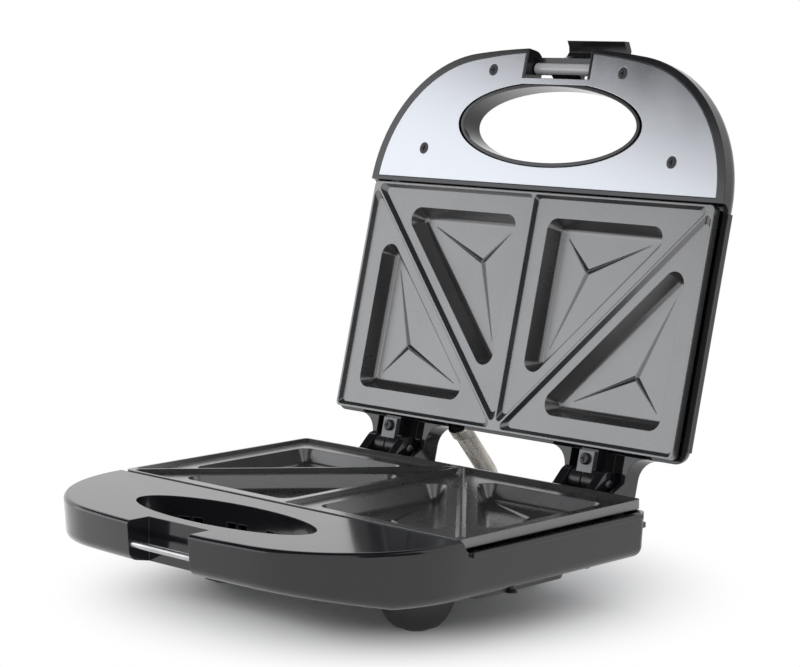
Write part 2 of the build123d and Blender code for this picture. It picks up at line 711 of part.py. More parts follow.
def knuckle_arms():
    """Two arms and knuckles on the back of the lower housing, for one hinge at x = 0."""
    edge = KNUCKLE_R * math.sqrt(0.5)
    side = [(REAR_Y - WALL, LEDGE), (REAR_Y, LEDGE), (HINGE_Y - edge, HINGE_Z + edge),
            (HINGE_Y, HINGE_Z), (HINGE_Y, HINGE_Z - KNUCKLE_R), (REAR_Y, KNUCKLE_ROOT_Z),
            (REAR_Y - WALL, KNUCKLE_ROOT_Z)]
    arms = []
    for x0 in (KNUCKLE_X, -KNUCKLE_X - KNUCKLE_L):
        arm = prism_x(side, x0, x0 + KNUCKLE_L)
        arm = arm + rod(KNUCKLE_R, (x0, HINGE_Y, HINGE_Z), (x0 + KNUCKLE_L, HINGE_Y, HINGE_Z))
        arms.append(arm)
    return arms


def gland_frame(exit_point):
    """Centre and direction of a conduit exit."""
    y, z, angle = exit_point
    direction = Vector(0, math.cos(math.radians(angle)), math.sin(math.radians(angle)))
    return Vector(HOSE_X, y, z), direction


def gland_boss():
    """Short collar on the base's back wall, round the conduit gland."""
    centre, direction = gland_frame(BASE_EXIT)
    collar = rod(GLAND_BOSS_R, tuple(centre - direction * GLAND_BORE),
                 tuple(centre + direction * GLAND_BOSS_L))
    return collar & box(-FAR, FAR, REAR_Y - WALL / 4, FAR, -FAR, FAR)


def gland_bore(exit_point):
    """Hole in a back wall for an end of the conduit."""
    centre, direction = gland_frame(exit_point)
    return rod(GLAND_R + PIN_FIT, tuple(centre - direction * GLAND_BORE),
               tuple(centre + direction * GLAND_BORE))


def upper_conduit_ferrule():
    """Ringed metal sleeve on the conduit where it enters the lid."""
    centre, direction = gland_frame(LID_EXIT)

    def tube(outer, inner, start, end):
        start, end = tuple(centre + direction * start), tuple(centre + direction * end)
        return rod(outer, start, end) - rod(inner, start, end)

    ferrule = tube(GLAND_R, HOSE_R + HOSE_FIT, *FERRULE)
    width, depth = FERRULE_GROOVE
    for groove in FERRULE_GROOVES:
        ferrule = ferrule - tube(2 * GLAND_R, GLAND_R - depth, groove - width / 2, groove + width / 2)
    return ferrule


def lower_conduit_gland():
    """Flanged sleeve that grips the conduit in the back wall of the base."""
    centre, direction = gland_frame(BASE_EXIT)
    flange_start = centre + direction * GLAND_BOSS_L
    flange_end = flange_start + direction * GLAND_FLANGE_T
    sleeve = rod(GLAND_R, tuple(centre - direction * GLAND_BACK), tuple(flange_end))
    flange = rod(GLAND_BOSS_R, tuple(flange_start), tuple(flange_end))
    bore = rod(HOSE_R + HOSE_FIT, tuple(centre - direction * GLAND_BORE),
               tuple(centre + direction * GLAND_BORE))
    return sleeve + flange - bore


def notch_block(grow, back, z0, z1):
    """Block of a latch notch, open to the front, wider each side and deeper by the growth."""
    return box(-NOTCH_HALF - grow, NOTCH_HALF + grow, -FAR, back + grow, z0, z1)


def base_posts():
    """Screw posts of the lower housing."""
    posts = []
    for sign in (-1, 1):
        x, y = sign * HANDLE_POST[0], HANDLE_POST[1]
        posts.append(rod(POST_R, (x, y, -FAR), (x, y, HANDLE_TOP - SKIN / 2)))
        x = sign * SIDE_POST_X
        for y in SIDE_POSTS_Y:
            posts.append(rod(POST_R, (x, y, -FAR), (x, y, POST_TOP)))
    return posts


def vent_slots():
    """Slots in pairs through the back of the finger tunnel."""
    slots = []
    for share in VENT_PAIRS:
        for side in (-1, 1):
            middle = share * OVAL_A + side * (VENT_W + VENT_GAP) / 2
            slots.append(box(middle - VENT_W / 2, middle + VENT_W / 2, OVAL_Y,
                             OVAL_Y + OVAL_B + VENT_CUT, VENT_BOTTOM, VENT_TOP))
    return slots


def base_housing():
    """Lower shell: handle, plate bay, finger tunnel, notch, flanges, posts, knuckles and rear feet."""
    outer = base_outer()
    core = base_block(WALL)
    bay = core & box(-FAR, FAR, STEP_Y, FAR, -FAR, FAR)
    chamber = core & box(-FAR, FAR, -FAR, STEP_Y - DIVIDER, -FAR, HANDLE_TOP - SKIN)
    outer = fillet_handle_top(outer)
    shell = outer - bay - chamber - (outline_prism(WALL + DRAFT, -FAR, 0) - above_underside(COVER_T))
    inside = outer & above_underside(COVER_T)
    for post in base_posts():
        shell = shell + (post & inside)
    for wall in (oval(OVAL_WALL, -FAR, HANDLE_TOP), notch_block(WALL, BASE_NOTCH_Y, -FAR, HANDLE_TOP)):
        shell = shell + (wall & outer)
    for tab in corner_tabs(FLANGE_Z - SKIN, FLANGE_Z):
        shell = shell + tab
    shell = shell + lip_ring(LEDGE - LIP_HEIGHT, LEDGE)
    for x in (-HINGE_X, HINGE_X):
        for arm in knuckle_arms():
            shell = shell + Pos(x, 0, 0) * arm
    shell = shell + gland_boss()
    shell = shell - oval(0, -FAR, FAR) - notch_block(0, BASE_NOTCH_Y, -FAR, FAR)
    shell = shell - rod(CATCH_R + PIN_FIT, (-NOTCH_HALF - WALL, CATCH_Y, CATCH_Z),
                        (NOTCH_HALF + WALL, CATCH_Y, CATCH_Z))
    for slot in vent_slots():
        shell = shell - slot
    shell = shell - gland_bore(BASE_EXIT)
    shell = shell - rod(CORD_GLAND_R + PIN_FIT, (CORD_X, REAR_Y - 2 * WALL, CORD_Z),
                        (CORD_X, FAR, CORD_Z))
    for x in (-HINGE_X, HINGE_X):
        shell = shell - rod(PIN_R + RUNNING, (x - HOOD_HALF, HINGE_Y, HINGE_Z),
                            (x + HOOD_HALF, HINGE_Y, HINGE_Z))
    for place in plate_screw_places():
        shell = shell - place * flat_screw_hole(2 * SKIN, PILOT_RADIUS)
    for x, y in cover_screw_places():
        shell = shell - rod(PILOT_RADIUS, (x, y, -FAR), (x, y, -UNDERSIDE + COVER_T + POST_HOLE))
    for x, y in foot_pair(REAR_FOOT):
        shell = shell + rear_foot(x, y) - pad_socket(x, y)
    return shell


def fillet_handle_top(block):
    """Soft edge round the top of the lower handle."""
    rim = [edge for edge in block.edges()
           if abs(edge.center().Z - HANDLE_TOP) < TOLERANCE and edge.center().Y < STEP_Y - HANDLE_EDGE / 2]
    return fillet(rim, HANDLE_EDGE)


def plate_screw_places():
    """Head faces of the lower plate screws, pointing down."""
    return [Pos(x, y, FLANGE_Z - SKIN) * Rot(180, 0, 0) for x in (-BOSS_X, BOSS_X) for y in BOSS_YS]


def cover_screw_places():
    """Plan places of the bottom cover screws."""
    side = [(x, y) for x in (-SIDE_POST_X, SIDE_POST_X) for y in SIDE_POSTS_Y]
    handle = [(x * HANDLE_POST[0], HANDLE_POST[1]) for x in (-1, 1)]
    return side + handle


def front_foot(x, y):
    """Hollow bowl-shaped foot under the bottom cover, as (solid, hollow)."""
    centre_z = -UNDERSIDE - FOOT_CURVE_DROP
    top_z = -UNDERSIDE + COVER_T
    tip_z = -RIM_HEIGHT + PAD_PROUD

    def bowl(thickness, low, tip):
        size = FOOT_CURVE_R - thickness
        middle = (centre_z + low) / 2
        curve = [(FOOT_CURVE_IN + math.sqrt(size ** 2 - (z - centre_z) ** 2), z)
                 for z in (centre_z, middle, low)]
        corners = [curve[2], tip, (0, tip[1]), (0, top_z), (FOOT_TOP_R - thickness, top_z), curve[0]]
        face = Plane.XZ * make_face([ThreePointArc(*curve), Polyline(*corners)])
        return Pos(x, y, 0) * revolve(face, Axis.Z)

    floor = tip_z + FOOT_WALL + PAD_T
    return (bowl(0, -UNDERSIDE - FOOT_RIM_DROP, (FOOT_TIP_R, tip_z)),
            bowl(FOOT_WALL, floor + FOOT_WALL, (FOOT_TIP_R, floor)))


def rear_foot(x, y):
    """Solid stud under the rear wall of the lower housing, clear of the bottom cover."""
    height = RIM_HEIGHT - PAD_PROUD + REAR_FOOT_TOP
    stud = Cone(FOOT_TIP_R, REAR_FOOT_R, height, align=(Align.CENTER, Align.CENTER, Align.MAX))
    stud = Pos(x, y, REAR_FOOT_TOP) * stud
    return stud - box(-FAR, FAR, -FAR, REAR_Y - WALL - DRAFT, -UNDERSIDE - FIT, FAR)


def pad_socket(x, y):
    """Hole under a foot for its rubber pad."""
    return rod(PAD_R + PIN_FIT, (x, y, -RIM_HEIGHT), (x, y, -RIM_HEIGHT + PAD_T))


def foot_pair(place):
    """Plan centres of the left and right foot of a pair."""
    return [(-place[0], place[1]), place]


def pan_hollow():
    """Inside of the pan, clear of the screw seats."""
    hollow = loft([rectangle_face(PAN, -UNDERSIDE - PAN_DEPTH + COVER_T, PAN_DRAFT + COVER_T),
                   rectangle_face(PAN, -UNDERSIDE + COVER_T, COVER_T)], ruled=True)
    for x, y in cover_screw_places():
        hollow = hollow - rod(POST_R + FIT, (x, y, -UNDERSIDE - PAN_DEPTH), (x, y, -UNDERSIDE + COVER_T))
    return hollow


def bottom_cover():
    """Cover of the underside with its pan and the two front feet."""
    limit = outline_prism(WALL + DRAFT + FIT, -FAR, 0)
    cover = (base_outer() & limit) - above_underside(COVER_T)
    cover = cover + loft([rectangle_face(PAN, -UNDERSIDE - PAN_DEPTH, PAN_DRAFT),
                          rectangle_face(PAN, -UNDERSIDE + COVER_T)], ruled=True)
    bowls = [front_foot(x, y) for x, y in foot_pair(FRONT_FOOT)]
    for solid, hollow in bowls:
        cover = cover + solid
    cover = cover - pan_hollow()
    for solid, hollow in bowls:
        cover = cover - hollow
    cover = cover - oval(OVAL_WALL + FIT, -FAR, FAR)
    cover = cover - notch_block(WALL + FIT, BASE_NOTCH_Y, -FAR, FAR)
    for x, y in foot_pair(FRONT_FOOT):
        cover = cover - pad_socket(x, y)
    for x, y in cover_screw_places():
        hole = flat_screw_hole(2 * (COVER_T + PAN_DEPTH), PILOT_RADIUS)
        cover = cover - Pos(x, y, cover_face(x, y)) * Rot(180, 0, 0) * hole
    return cover


def cover_face(x, y):
    """Height of the underside at a cover screw."""
    half, front, back, corner = PAN
    in_pan = front < y < back and abs(x) < half
    return -UNDERSIDE - (PAN_DEPTH if in_pan else 0)


def cover_screws():
    """Screws up through the bottom cover into the posts."""
    screws = []
    for x, y in cover_screw_places():
        face = cover_face(x, y)
        length = -UNDERSIDE + COVER_T + POST_HOLE - FIT - face
        screws.append(Pos(x, y, face) * Rot(180, 0, 0) * flat_screw(length, PILOT_RADIUS))
    return screws


def foot_pads():
    """Rubber discs pressed into the feet."""
    return [rod(PAD_R, (x, y, -RIM_HEIGHT), (x, y, -RIM_HEIGHT + PAD_T))
            for x, y in foot_pair(FRONT_FOOT) + foot_pair(REAR_FOOT)]


def catch_pin():
    """Steel bar across the lower notch that the latch hooks under."""
    return rod(CATCH_R, (-NOTCH_HALF - WALL + FIT, CATCH_Y, CATCH_Z),
               (NOTCH_HALF + WALL - FIT, CATCH_Y, CATCH_Z))


def hinge_pin(x):
    """Steel pin of one hinge."""
    half = KNUCKLE_X + KNUCKLE_L + PIN_PROUD
    return rod(PIN_R, (x - half, HINGE_Y, HINGE_Z), (x + half, HINGE_Y, HINGE_Z))


def terminal_block():
    """Ceramic block where the supply joins the inner wiring."""
    length, width, height = TERMINAL_SIZE
    x, y = TERMINAL_CENTRE
    floor = -UNDERSIDE + COVER_T
    block = box(x - length / 2, x + length / 2, y - width / 2, y + width / 2, floor, floor + height)
    for offset in (-1, 0, 1):
        well = rod(TERMINAL_WELL_R, (x + offset * length / 3, y, floor + height / 2),
                   (x + offset * length / 3, y, floor + height))
        block = block - well
    return block


def cord_gland():
    """Flanged bush in the back wall where the supply cord would enter."""
    inner = REAR_Y - WALL - DRAFT
    outer = REAR_Y + CORD_FLANGE_T
    bush = rod(CORD_GLAND_R, (CORD_X, inner, CORD_Z), (CORD_X, outer, CORD_Z))
    bush = bush + rod(CORD_FLANGE_R, (CORD_X, REAR_Y, CORD_Z), (CORD_X, outer, CORD_Z))
    return bush - rod(CORD_BORE_R, (CORD_X, inner, CORD_Z), (CORD_X, outer, CORD_Z))


# ---------------------------------------------------------------- lid

def lid_outer():
    """Slab of the lid: rounded above, stepped up behind the handle."""
    slab = outline_prism(0, LID_FACE, ROOF_Z)
    slab = fillet(slab.edges().group_by(Axis.Z)[-1], ROOF_EDGE)
    return slab - step_tool(LID_LEDGE, LID_FACE - 1)


def hood_flare(x):
    """Plan outline of one hinge hood with its flared root, full height."""
    front = REAR_Y - WALL
    start = REAR_Y + HOOD_FLARE
    back = HINGE_Y + HOOD_BACK
    middle = HOOD_FLARE * (1 - math.sqrt(0.5))
    round_mid = HOOD_CORNER * (1 - math.sqrt(0.5))
    right = [
        Line((0, front), (HOOD_HALF + HOOD_FLARE, front)),
        Line((HOOD_HALF + HOOD_FLARE, front), (HOOD_HALF + HOOD_FLARE, REAR_Y)),
        ThreePointArc((HOOD_HALF + HOOD_FLARE, REAR_Y), (HOOD_HALF + middle, REAR_Y + middle),
                      (HOOD_HALF, start)),
        Line((HOOD_HALF, start), (HOOD_HALF, back - HOOD_CORNER)),
        ThreePointArc((HOOD_HALF, back - HOOD_CORNER), (HOOD_HALF - round_mid, back - round_mid),
                      (HOOD_HALF - HOOD_CORNER, back)),
        Line((HOOD_HALF - HOOD_CORNER, back), (0, back)),
        Line((0, back), (0, front)),
    ]
    half = extrude(Pos(0, 0, -FAR / 2) * Face(Wire(right)), amount=FAR, dir=(0, 0, 1))
    return Pos(x, 0, 0) * (half + mirror(half, about=Plane.YZ))


def hood_side(top):
    """Side profile of a hinge hood, from the lid's back wall to the drooping tip."""
    back = HINGE_Y + HOOD_BACK
    low = HINGE_Z - HOOD_TIP
    slope = [(HINGE_Y + y, HINGE_Z + z) for y, z in HOOD_SLOPE]
    points = [(REAR_Y - WALL, LID_LEDGE), (REAR_Y, HINGE_Z + HOOD_CLEAR)] + slope
    points = points + [(back, low), (back, top), (REAR_Y - WALL, top)]
    profile = prism_x(points, -FAR, FAR)
    crown = [edge for edge in profile.edges()
             if abs(edge.center().Z - top) < TOLERANCE and edge.center().Y > back - TOLERANCE]
    return fillet(crown, ROOF_EDGE)


def hood_slots():
    """Gaps in a hood's skirt for the base's knuckle arms, for a hinge at x = 0."""
    start = KNUCKLE_X - SLOT_SIDE
    end = KNUCKLE_X + KNUCKLE_L + SLOT_SIDE
    return both_sides(box(start, end, HINGE_Y, FAR, -FAR, HINGE_Z + SLOT_TOP))


def hood(x):
    """One hinge hood as (solid, hollow)."""
    solid = hood_flare(x) & hood_side(ROOF_Z)
    half = HOOD_HALF - HOOD_WALL
    hollow = box(x - half, x + half, REAR_Y, HINGE_Y + HOOD_BACK - HOOD_WALL, -FAR, ROOF_Z - SKIN)
    return solid, hollow


def panel_slab(grow, z0, z1):
    """Handle panel as a slab between two heights, larger all round by the growth."""
    face = front_outline(-grow, z0, PANEL_HALF, PANEL_REACH, PANEL_CORNER)
    slab = extrude(face, amount=z1 - z0, dir=(0, 0, 1))
    slab = slab & box(-FAR, FAR, -FAR, PANEL_BACK_Y + grow, z0, z1)
    slab = slab - oval(-grow, z0, z1, *PANEL_OVAL)
    slab = slab + box(-NOTCH_HALF - WALL, NOTCH_HALF + WALL, LID_NOTCH_Y, BRIDGE_BACK_Y + grow, z0, z1)
    side = NOTCH_HALF + OVAL_WALL - grow
    return slab - box(-side, side, -FAR, LID_NOTCH_Y + PANEL_FIT - grow, z0, z1)


def panel_screw_places():
    """Head faces of the panel screws, pointing into the lid."""
    return [Pos(side * x, y, LID_FACE) * Rot(180, 0, 0) for x, y in PANEL_SCREWS for side in (-1, 1)]


def lid_ribs():
    """Walls and posts inside the lid's handle."""
    ribs = [oval(OVAL_WALL, LID_FACE, ROOF_Z - SKIN / 2), notch_block(WALL, LID_NOTCH_Y, LID_FACE, FAR)]
    for x, y in PANEL_SCREWS:
        for post_x in (-x, x):
            ribs.append(rod(POST_R, (post_x, y, LID_FACE), (post_x, y, ROOF_Z - SKIN / 2)))
    return ribs


def roof_opening():
    """Hole in the roof over the heating pieces, less the corner flanges."""
    half, front, back = OPENING
    low, high = ROOF_Z - 2 * SKIN, ROOF_Z + SKIN
    opening = box(-half, half, front, back, low, high)
    for tab in corner_tabs(low, high):
        opening = opening - tab
    return opening


def lid_housing():
    """Upper shell: handle, plate bay, roof opening, finger tunnel, notch walls and hinge hoods."""
    outer = lid_outer()
    roof_in = ROOF_Z - SKIN
    core = outline_prism(WALL, LID_FACE - SKIN, roof_in)
    core = fillet(core.edges().group_by(Axis.Z)[-1], ROOF_INNER_EDGE)
    bay = core & box(-FAR, FAR, STEP_Y, FAR, -FAR, FAR)
    chamber = outline_prism(PANEL_MARGIN + PANEL_LEDGE, LID_FACE - SKIN, roof_in)
    chamber = chamber & box(-FAR, FAR, -FAR, STEP_Y - DIVIDER, -FAR, FAR)
    shell = outer - bay - chamber
    for rib in lid_ribs():
        shell = shell + (rib & outer)
    shell = shell - roof_opening()
    shell = shell + lip_ring(LID_LEDGE, LID_LEDGE + LIP_HEIGHT)
    for x in (-HINGE_X, HINGE_X):
        solid, hollow = hood(x)
        shell = shell + (solid - hollow)
        shell = shell + box(x - BRACKET_BOSS_W / 2, x + BRACKET_BOSS_W / 2, REAR_Y - WALL / 4,
                            HINGE_Y - BARREL_OUTER_R - FIT, HINGE_Z - LEAF_DROP + LEAF_T,
                            ROOF_Z - SKIN / 2)
        for slot in hood_slots():
            shell = shell - Pos(x, 0, 0) * slot
    shell = shell - (bay & box(-FAR, FAR, PLATE_D / 2, FAR, -FAR, roof_in))
    shell = shell - panel_slab(PANEL_FIT, LID_FACE - PANEL_T, LID_FACE + PANEL_T)
    shell = shell - oval(0, -FAR, FAR) - notch_block(0, LID_NOTCH_Y, -FAR, FAR)
    shell = shell - rod(AXLE_R + PIN_FIT, (-NOTCH_HALF - WALL, PIVOT_Y, PIVOT_Z),
                        (NOTCH_HALF + WALL, PIVOT_Y, PIVOT_Z))
    shell = shell - gland_bore(LID_EXIT)
    for place in plate_screw_places():
        shell = shell - turned_over(place * flat_screw_hole(2 * SKIN, PILOT_RADIUS))
    for place in panel_screw_places():
        shell = shell - place * flat_screw_hole(PANEL_SCREW_L + FIT, PILOT_RADIUS)
    for x in (-LENS_X, LENS_X):
        shell = shell - rod(LENS_SLEEVE_R + PIN_FIT, (x, LENS_Y, LID_FACE), (x, LENS_Y, FAR))
    for x in (-HINGE_X, HINGE_X):
        shell = shell - Pos(x, 0, 0) * bracket_screw_bore()
    return shell


def bracket_screw_place():
    """Seat of a bracket screw head under the leaf, pointing down, for a hinge at x = 0."""
    return Pos(0, HINGE_Y + BRACKET_SCREW_Y, HINGE_Z - LEAF_DROP) * Rot(180, 0, 0)


def bracket_screw_bore():
    """Pilot hole above the leaf of a hinge bracket."""
    return bracket_screw_place() * Pos(0, 0, -BRACKET_BORE / 2) * Cylinder(PILOT_RADIUS, BRACKET_BORE)


def hinge_bracket():
    """Steel leaf with two rolled barrels, for a hinge at x = 0."""
    low = HINGE_Z - LEAF_DROP
    high = low + LEAF_T
    root = HINGE_Y - BARREL_OUTER_R + LEAF_OVERLAP
    width = KNUCKLE_GAP + BARREL_L
    barrel = rod(BARREL_OUTER_R, (KNUCKLE_GAP, HINGE_Y, HINGE_Z), (width, HINGE_Y, HINGE_Z))
    bracket = box(-width, width, root, HINGE_Y - LEAF_SETBACK, low, high)
    bracket = bracket + fuse_all(both_sides(barrel))
    bracket = bracket + box(-LEAF_W / 2, LEAF_W / 2, HINGE_Y - LEAF_REACH, root + LEAF_OVERLAP, low, high)
    bracket = bracket - rod(PIN_R + RUNNING, (-width, HINGE_Y, HINGE_Z), (width, HINGE_Y, HINGE_Z))
    return bracket - bracket_screw_place() * Cylinder(PILOT_RADIUS + SCREW_CLEARANCE, 4 * LEAF_T)


def bracket_screw():
    """Raised screw through the leaf of a hinge bracket."""
    return bracket_screw_place() * pan_screw(BRACKET_SCREW_L, PILOT_RADIUS)


def locating_rib():
    """Rib under the lid's cover that fits inside the roof opening."""
    half, front, back = OPENING
    low, inner = ROOF_Z - LOCATING_RIB, FIT + LOCATING_RIB_T
    rib = box(FIT - half, half - FIT, front + FIT, back - FIT, low, ROOF_Z)
    rib = rib - box(inner - half, half - inner, front + inner, back - inner, low, ROOF_Z)
    for tab in corner_tabs(low, ROOF_Z):
        room = tab.bounding_box()
        rib = rib - box(room.min.X - FIT, room.max.X + FIT, room.min.Y - FIT, room.max.Y + FIT, low, ROOF_Z)
    return rib


def lid_top_cover():
    """Raised cover over the upper plate, seated on the roof of the slab."""
    outer = loft([rectangle_face(COVER_FOOT, ROOF_Z), rectangle_face(COVER_CROWN, CROWN_Z)], ruled=True)
    outer = fillet(outer.edges().group_by(Axis.Z)[-1], CROWN_EDGE)
    inner = loft([rectangle_face(COVER_FOOT, ROOF_Z, COVER_SIDE_WALL),
                  rectangle_face(COVER_CROWN, CROWN_Z - SKIN, COVER_SIDE_WALL / 4)], ruled=True)
    return outer - inner + locating_rib()


def lid_handle_panel():
    """Bright sheet on the inside of the lid's handle."""
    panel = panel_slab(0, LID_FACE, LID_FACE + PANEL_T)
    for place in panel_screw_places():
        panel = panel - place * flat_screw_hole(2 * PANEL_T, PILOT_RADIUS)
    return panel


def panel_screws():
    """Four countersunk screws that hold the handle panel."""
    screw = flat_screw(PANEL_SCREW_L, PILOT_RADIUS)
    return [place * screw for place in panel_screw_places()]


def indicator_lens(x):
    """Domed lens with a sleeve through the roof of the lid."""
    head = rod(LENS_HEAD_R, (x, LENS_Y, ROOF_Z), (x, LENS_Y, ROOF_Z + LENS_HEAD_T))
    head = fillet(head.edges().group_by(Axis.Z)[-1], LENS_DOME)
    sleeve = rod(LENS_SLEEVE_R, (x, LENS_Y, ROOF_Z - LENS_SLEEVE_L), (x, LENS_Y, ROOF_Z))
    bore = rod(LAMP_R + LAMP_FIT, (x, LENS_Y, ROOF_Z - LENS_SLEEVE_L), (x, LENS_Y, ROOF_Z - LAMP_FIT))
    return head + sleeve - bore


def indicator_lamps():
    """Two small glow lamps, each in the sleeve of its lens."""
    top = ROOF_Z - 2 * LAMP_FIT
    return [rod(LAMP_R, (x, LENS_Y, top - LAMP_L), (x, LENS_Y, top)) for x in (-LENS_X, LENS_X)]


# ---------------------------------------------------------------- latch

def latch():
    """Hooked lever across the notch, with its barrel, drawn hooked on the catch pin."""
    pivot = Vector(0, PIVOT_Y, PIVOT_Z)
    to_catch = Vector(0, CATCH_Y, CATCH_Z) - pivot
    catch_reach = math.sqrt(to_catch.length ** 2 - (ARM_OFFSET + CATCH_IN) ** 2)
    lean = math.atan2(-to_catch.Z, -to_catch.Y) - math.atan2(ARM_OFFSET + CATCH_IN, catch_reach)
    along = Vector(0, -math.cos(lean), -math.sin(lean))
    inward = Vector(0, math.sin(lean), -math.cos(lean))

    def place(reach, out):
        point = pivot + along * reach + inward * (ARM_OFFSET + out)
        return (point.Y, point.Z)

    profile = [place(-ARM_BACK, -ARM_T)] + [place(catch_reach + reach, out) for reach, out in HOOK]
    profile.append(place(-ARM_BACK, 0))
    lever = prism_x(profile, -LATCH_HALF, LATCH_HALF)
    lever = lever + rod(BARREL_R, (-BARREL_HALF, PIVOT_Y, PIVOT_Z), (BARREL_HALF, PIVOT_Y, PIVOT_Z))
    heel = []
    for angle, radius in ((-HEEL_SPREAD, BARREL_R), (0, HEEL_R), (HEEL_SPREAD, BARREL_R)):
        turn = math.radians(HEEL_ANGLE + LATCH_SWING + angle)
        heel.append((PIVOT_Y + radius * math.cos(turn), PIVOT_Z + radius * math.sin(turn)))
    lever = lever + prism_x([(PIVOT_Y, PIVOT_Z)] + heel, -LATCH_HALF / 2, LATCH_HALF / 2)
    return lever - rod(AXLE_R + AXLE_FIT, (-BARREL_HALF, PIVOT_Y, PIVOT_Z),
                       (BARREL_HALF, PIVOT_Y, PIVOT_Z))


def latch_axle():
    """Steel axle of the latch, held in the walls of the lid's notch."""
    half = NOTCH_HALF + WALL - FIT
    return rod(AXLE_R, (-half, PIVOT_Y, PIVOT_Z), (half, PIVOT_Y, PIVOT_Z))


# ---------------------------------------------------------------- conduit

def swung(point, angle):
    """A (y, z) point or direction pair swung about the hinge axis by an angle in degrees."""
    turn = math.radians(angle)
    y = point[0] - HINGE_Y
    z = point[1] - HINGE_Z
    return (HINGE_Y + y * math.cos(turn) - z * math.sin(turn),
            HINGE_Z + y * math.sin(turn) + z * math.cos(turn))


def hose_route():
    """Stations along the open conduit: (point, heading in degrees) at even steps."""
    start = swung(LID_EXIT[:2], -OPEN_ANGLE)
    heading = LID_EXIT[2] - OPEN_ANGLE
    finish = BASE_EXIT[:2]
    arrival = BASE_EXIT[2] - 180

    def unit(angle):
        return (math.cos(math.radians(angle)), math.sin(math.radians(angle)))

    ahead, into = unit(heading), unit(arrival)
    gap = (finish[0] - start[0] - LID_STRAIGHT * ahead[0],
           finish[1] - start[1] - LID_STRAIGHT * ahead[1])
    turn = (ahead[1] - into[1], into[0] - ahead[0])
    cross = into[0] * turn[1] - into[1] * turn[0]
    last = (gap[0] * turn[1] - gap[1] * turn[0]) / cross
    radius = (into[0] * gap[1] - into[1] * gap[0]) / cross
    bend = math.radians(heading - arrival)
    lengths = (HOSE_GRIP + LID_STRAIGHT, radius * bend, last + HOSE_GRIP)

    def station(distance):
        if distance <= lengths[0]:
            travel = distance - HOSE_GRIP
            return (start[0] + travel * ahead[0], start[1] + travel * ahead[1]), heading
        turned = min(distance - lengths[0], lengths[1]) / radius
        now = unit(heading - math.degrees(turned))
        y = start[0] + LID_STRAIGHT * ahead[0] + radius * (ahead[1] - now[1])
        z = start[1] + LID_STRAIGHT * ahead[1] - radius * (ahead[0] - now[0])
        extra = max(0.0, distance - lengths[0] - lengths[1])
        return (y + extra * now[0], z + extra * now[1]), heading - math.degrees(turned)

    print(f"conduit: bend radius {radius:.1f}, last straight {last:.1f}")
    return station, sum(lengths)


def conduit():
    """Ribbed metal hose with its bore, bent in a loop behind the hinges."""
    station, length = hose_route()
    count = round(length / HOSE_PITCH)
    pitch = length / count
    print(f"conduit: length {length:.1f}, ribs {count}")

    def ring(distance, size):
        (y, z), heading = station(distance)
        turn = math.radians(heading)
        plane = Plane(origin=(HOSE_X, y, z), x_dir=(1, 0, 0),
                      z_dir=(0, math.cos(turn), math.sin(turn)))
        return plane * Circle(size)

    sections = []
    for rib in range(count):
        base = rib * pitch
        land = HOSE_LAND * pitch
        sections.append(ring(base, HOSE_ROOT_R))
        sections.append(ring(base + land / 2, HOSE_ROOT_R))
        sections.append(ring(base + pitch / 2, HOSE_R))
        sections.append(ring(base + pitch / 2 + land / 2, HOSE_R))
    sections.append(ring(length, HOSE_ROOT_R))
    outer = loft(sections, ruled=True)
    steps = round(length / (2 * HOSE_PITCH))
    bore = loft([ring(length * step / steps, HOSE_BORE_R) for step in range(steps + 1)], ruled=True)
    return outer - bore


# ---------------------------------------------------------------- assembly

def lower_pieces():
    """Pieces of the base, by node name."""
    return {
        "base_housing": base_housing(),
        "bottom_cover": bottom_cover(),
        "cover_screws": cover_screws(),
        "foot_pads": foot_pads(),
        "lower_plate": cooking_plate(),
        "lower_plate_screws": plate_screws(),
        "lower_heating_element": heating_element(),
        "lower_heater_insulators": heater_insulators(),
        "lower_heater_clamps": heater_clamps(),
        "lower_clamp_screws": clamp_screws(),
        "lower_heat_shield": heat_shield(),
        "lower_thermostat": thermostat(),
        "thermal_fuse": thermal_fuse(),
        "terminal_block": terminal_block(),
        "supply_cord_gland": cord_gland(),
        "catch_pin": catch_pin(),
        "hinge_pin_left": hinge_pin(-HINGE_X),
        "hinge_pin_right": hinge_pin(HINGE_X),
        "lower_conduit_gland": lower_conduit_gland(),
    }


def lid_pieces():
    """Pieces of the shut lid, by node name."""
    bracket = hinge_bracket()
    return {
        "lid_housing": lid_housing(),
        "lid_top_cover": lid_top_cover(),
        "lid_handle_panel": lid_handle_panel(),
        "panel_screws": panel_screws(),
        "upper_plate": turned_over(cooking_plate()),
        "upper_plate_screws": [turned_over(screw) for screw in plate_screws()],
        "upper_heating_element": turned_over(heating_element()),
        "upper_heater_insulators": [turned_over(bead) for bead in heater_insulators()],
        "upper_heater_clamps": [turned_over(strip) for strip in heater_clamps()],
        "upper_clamp_screws": [turned_over(screw) for screw in clamp_screws()],
        "upper_heat_shield": turned_over(heat_shield()),
        "upper_thermostat": turned_over(thermostat()),
        "power_lens": indicator_lens(-LENS_X),
        "ready_lens": indicator_lens(LENS_X),
        "indicator_lamps": indicator_lamps(),
        "hinge_bracket_left": Pos(-HINGE_X, 0, 0) * bracket,
        "hinge_bracket_right": Pos(HINGE_X, 0, 0) * bracket,
        "bracket_screws": [Pos(x, 0, 0) * bracket_screw() for x in (-HINGE_X, HINGE_X)],
        "latch_axle": latch_axle(),
        "upper_conduit_ferrule": upper_conduit_ferrule(),
    }


def as_list(shape):
    """The separate solids of a node."""
    return shape if isinstance(shape, list) else [shape]


nodes = {name: as_list(shape) for name, shape in lower_pieces().items()}
for name, shape in lid_pieces().items():
    nodes[name] = [about_hinge(solid, -OPEN_ANGLE) for solid in as_list(shape)]
nodes["latch"] = [about_hinge(about_latch(latch(), -LATCH_SWING), -OPEN_ANGLE)]
nodes["conduit"] = [conduit()]

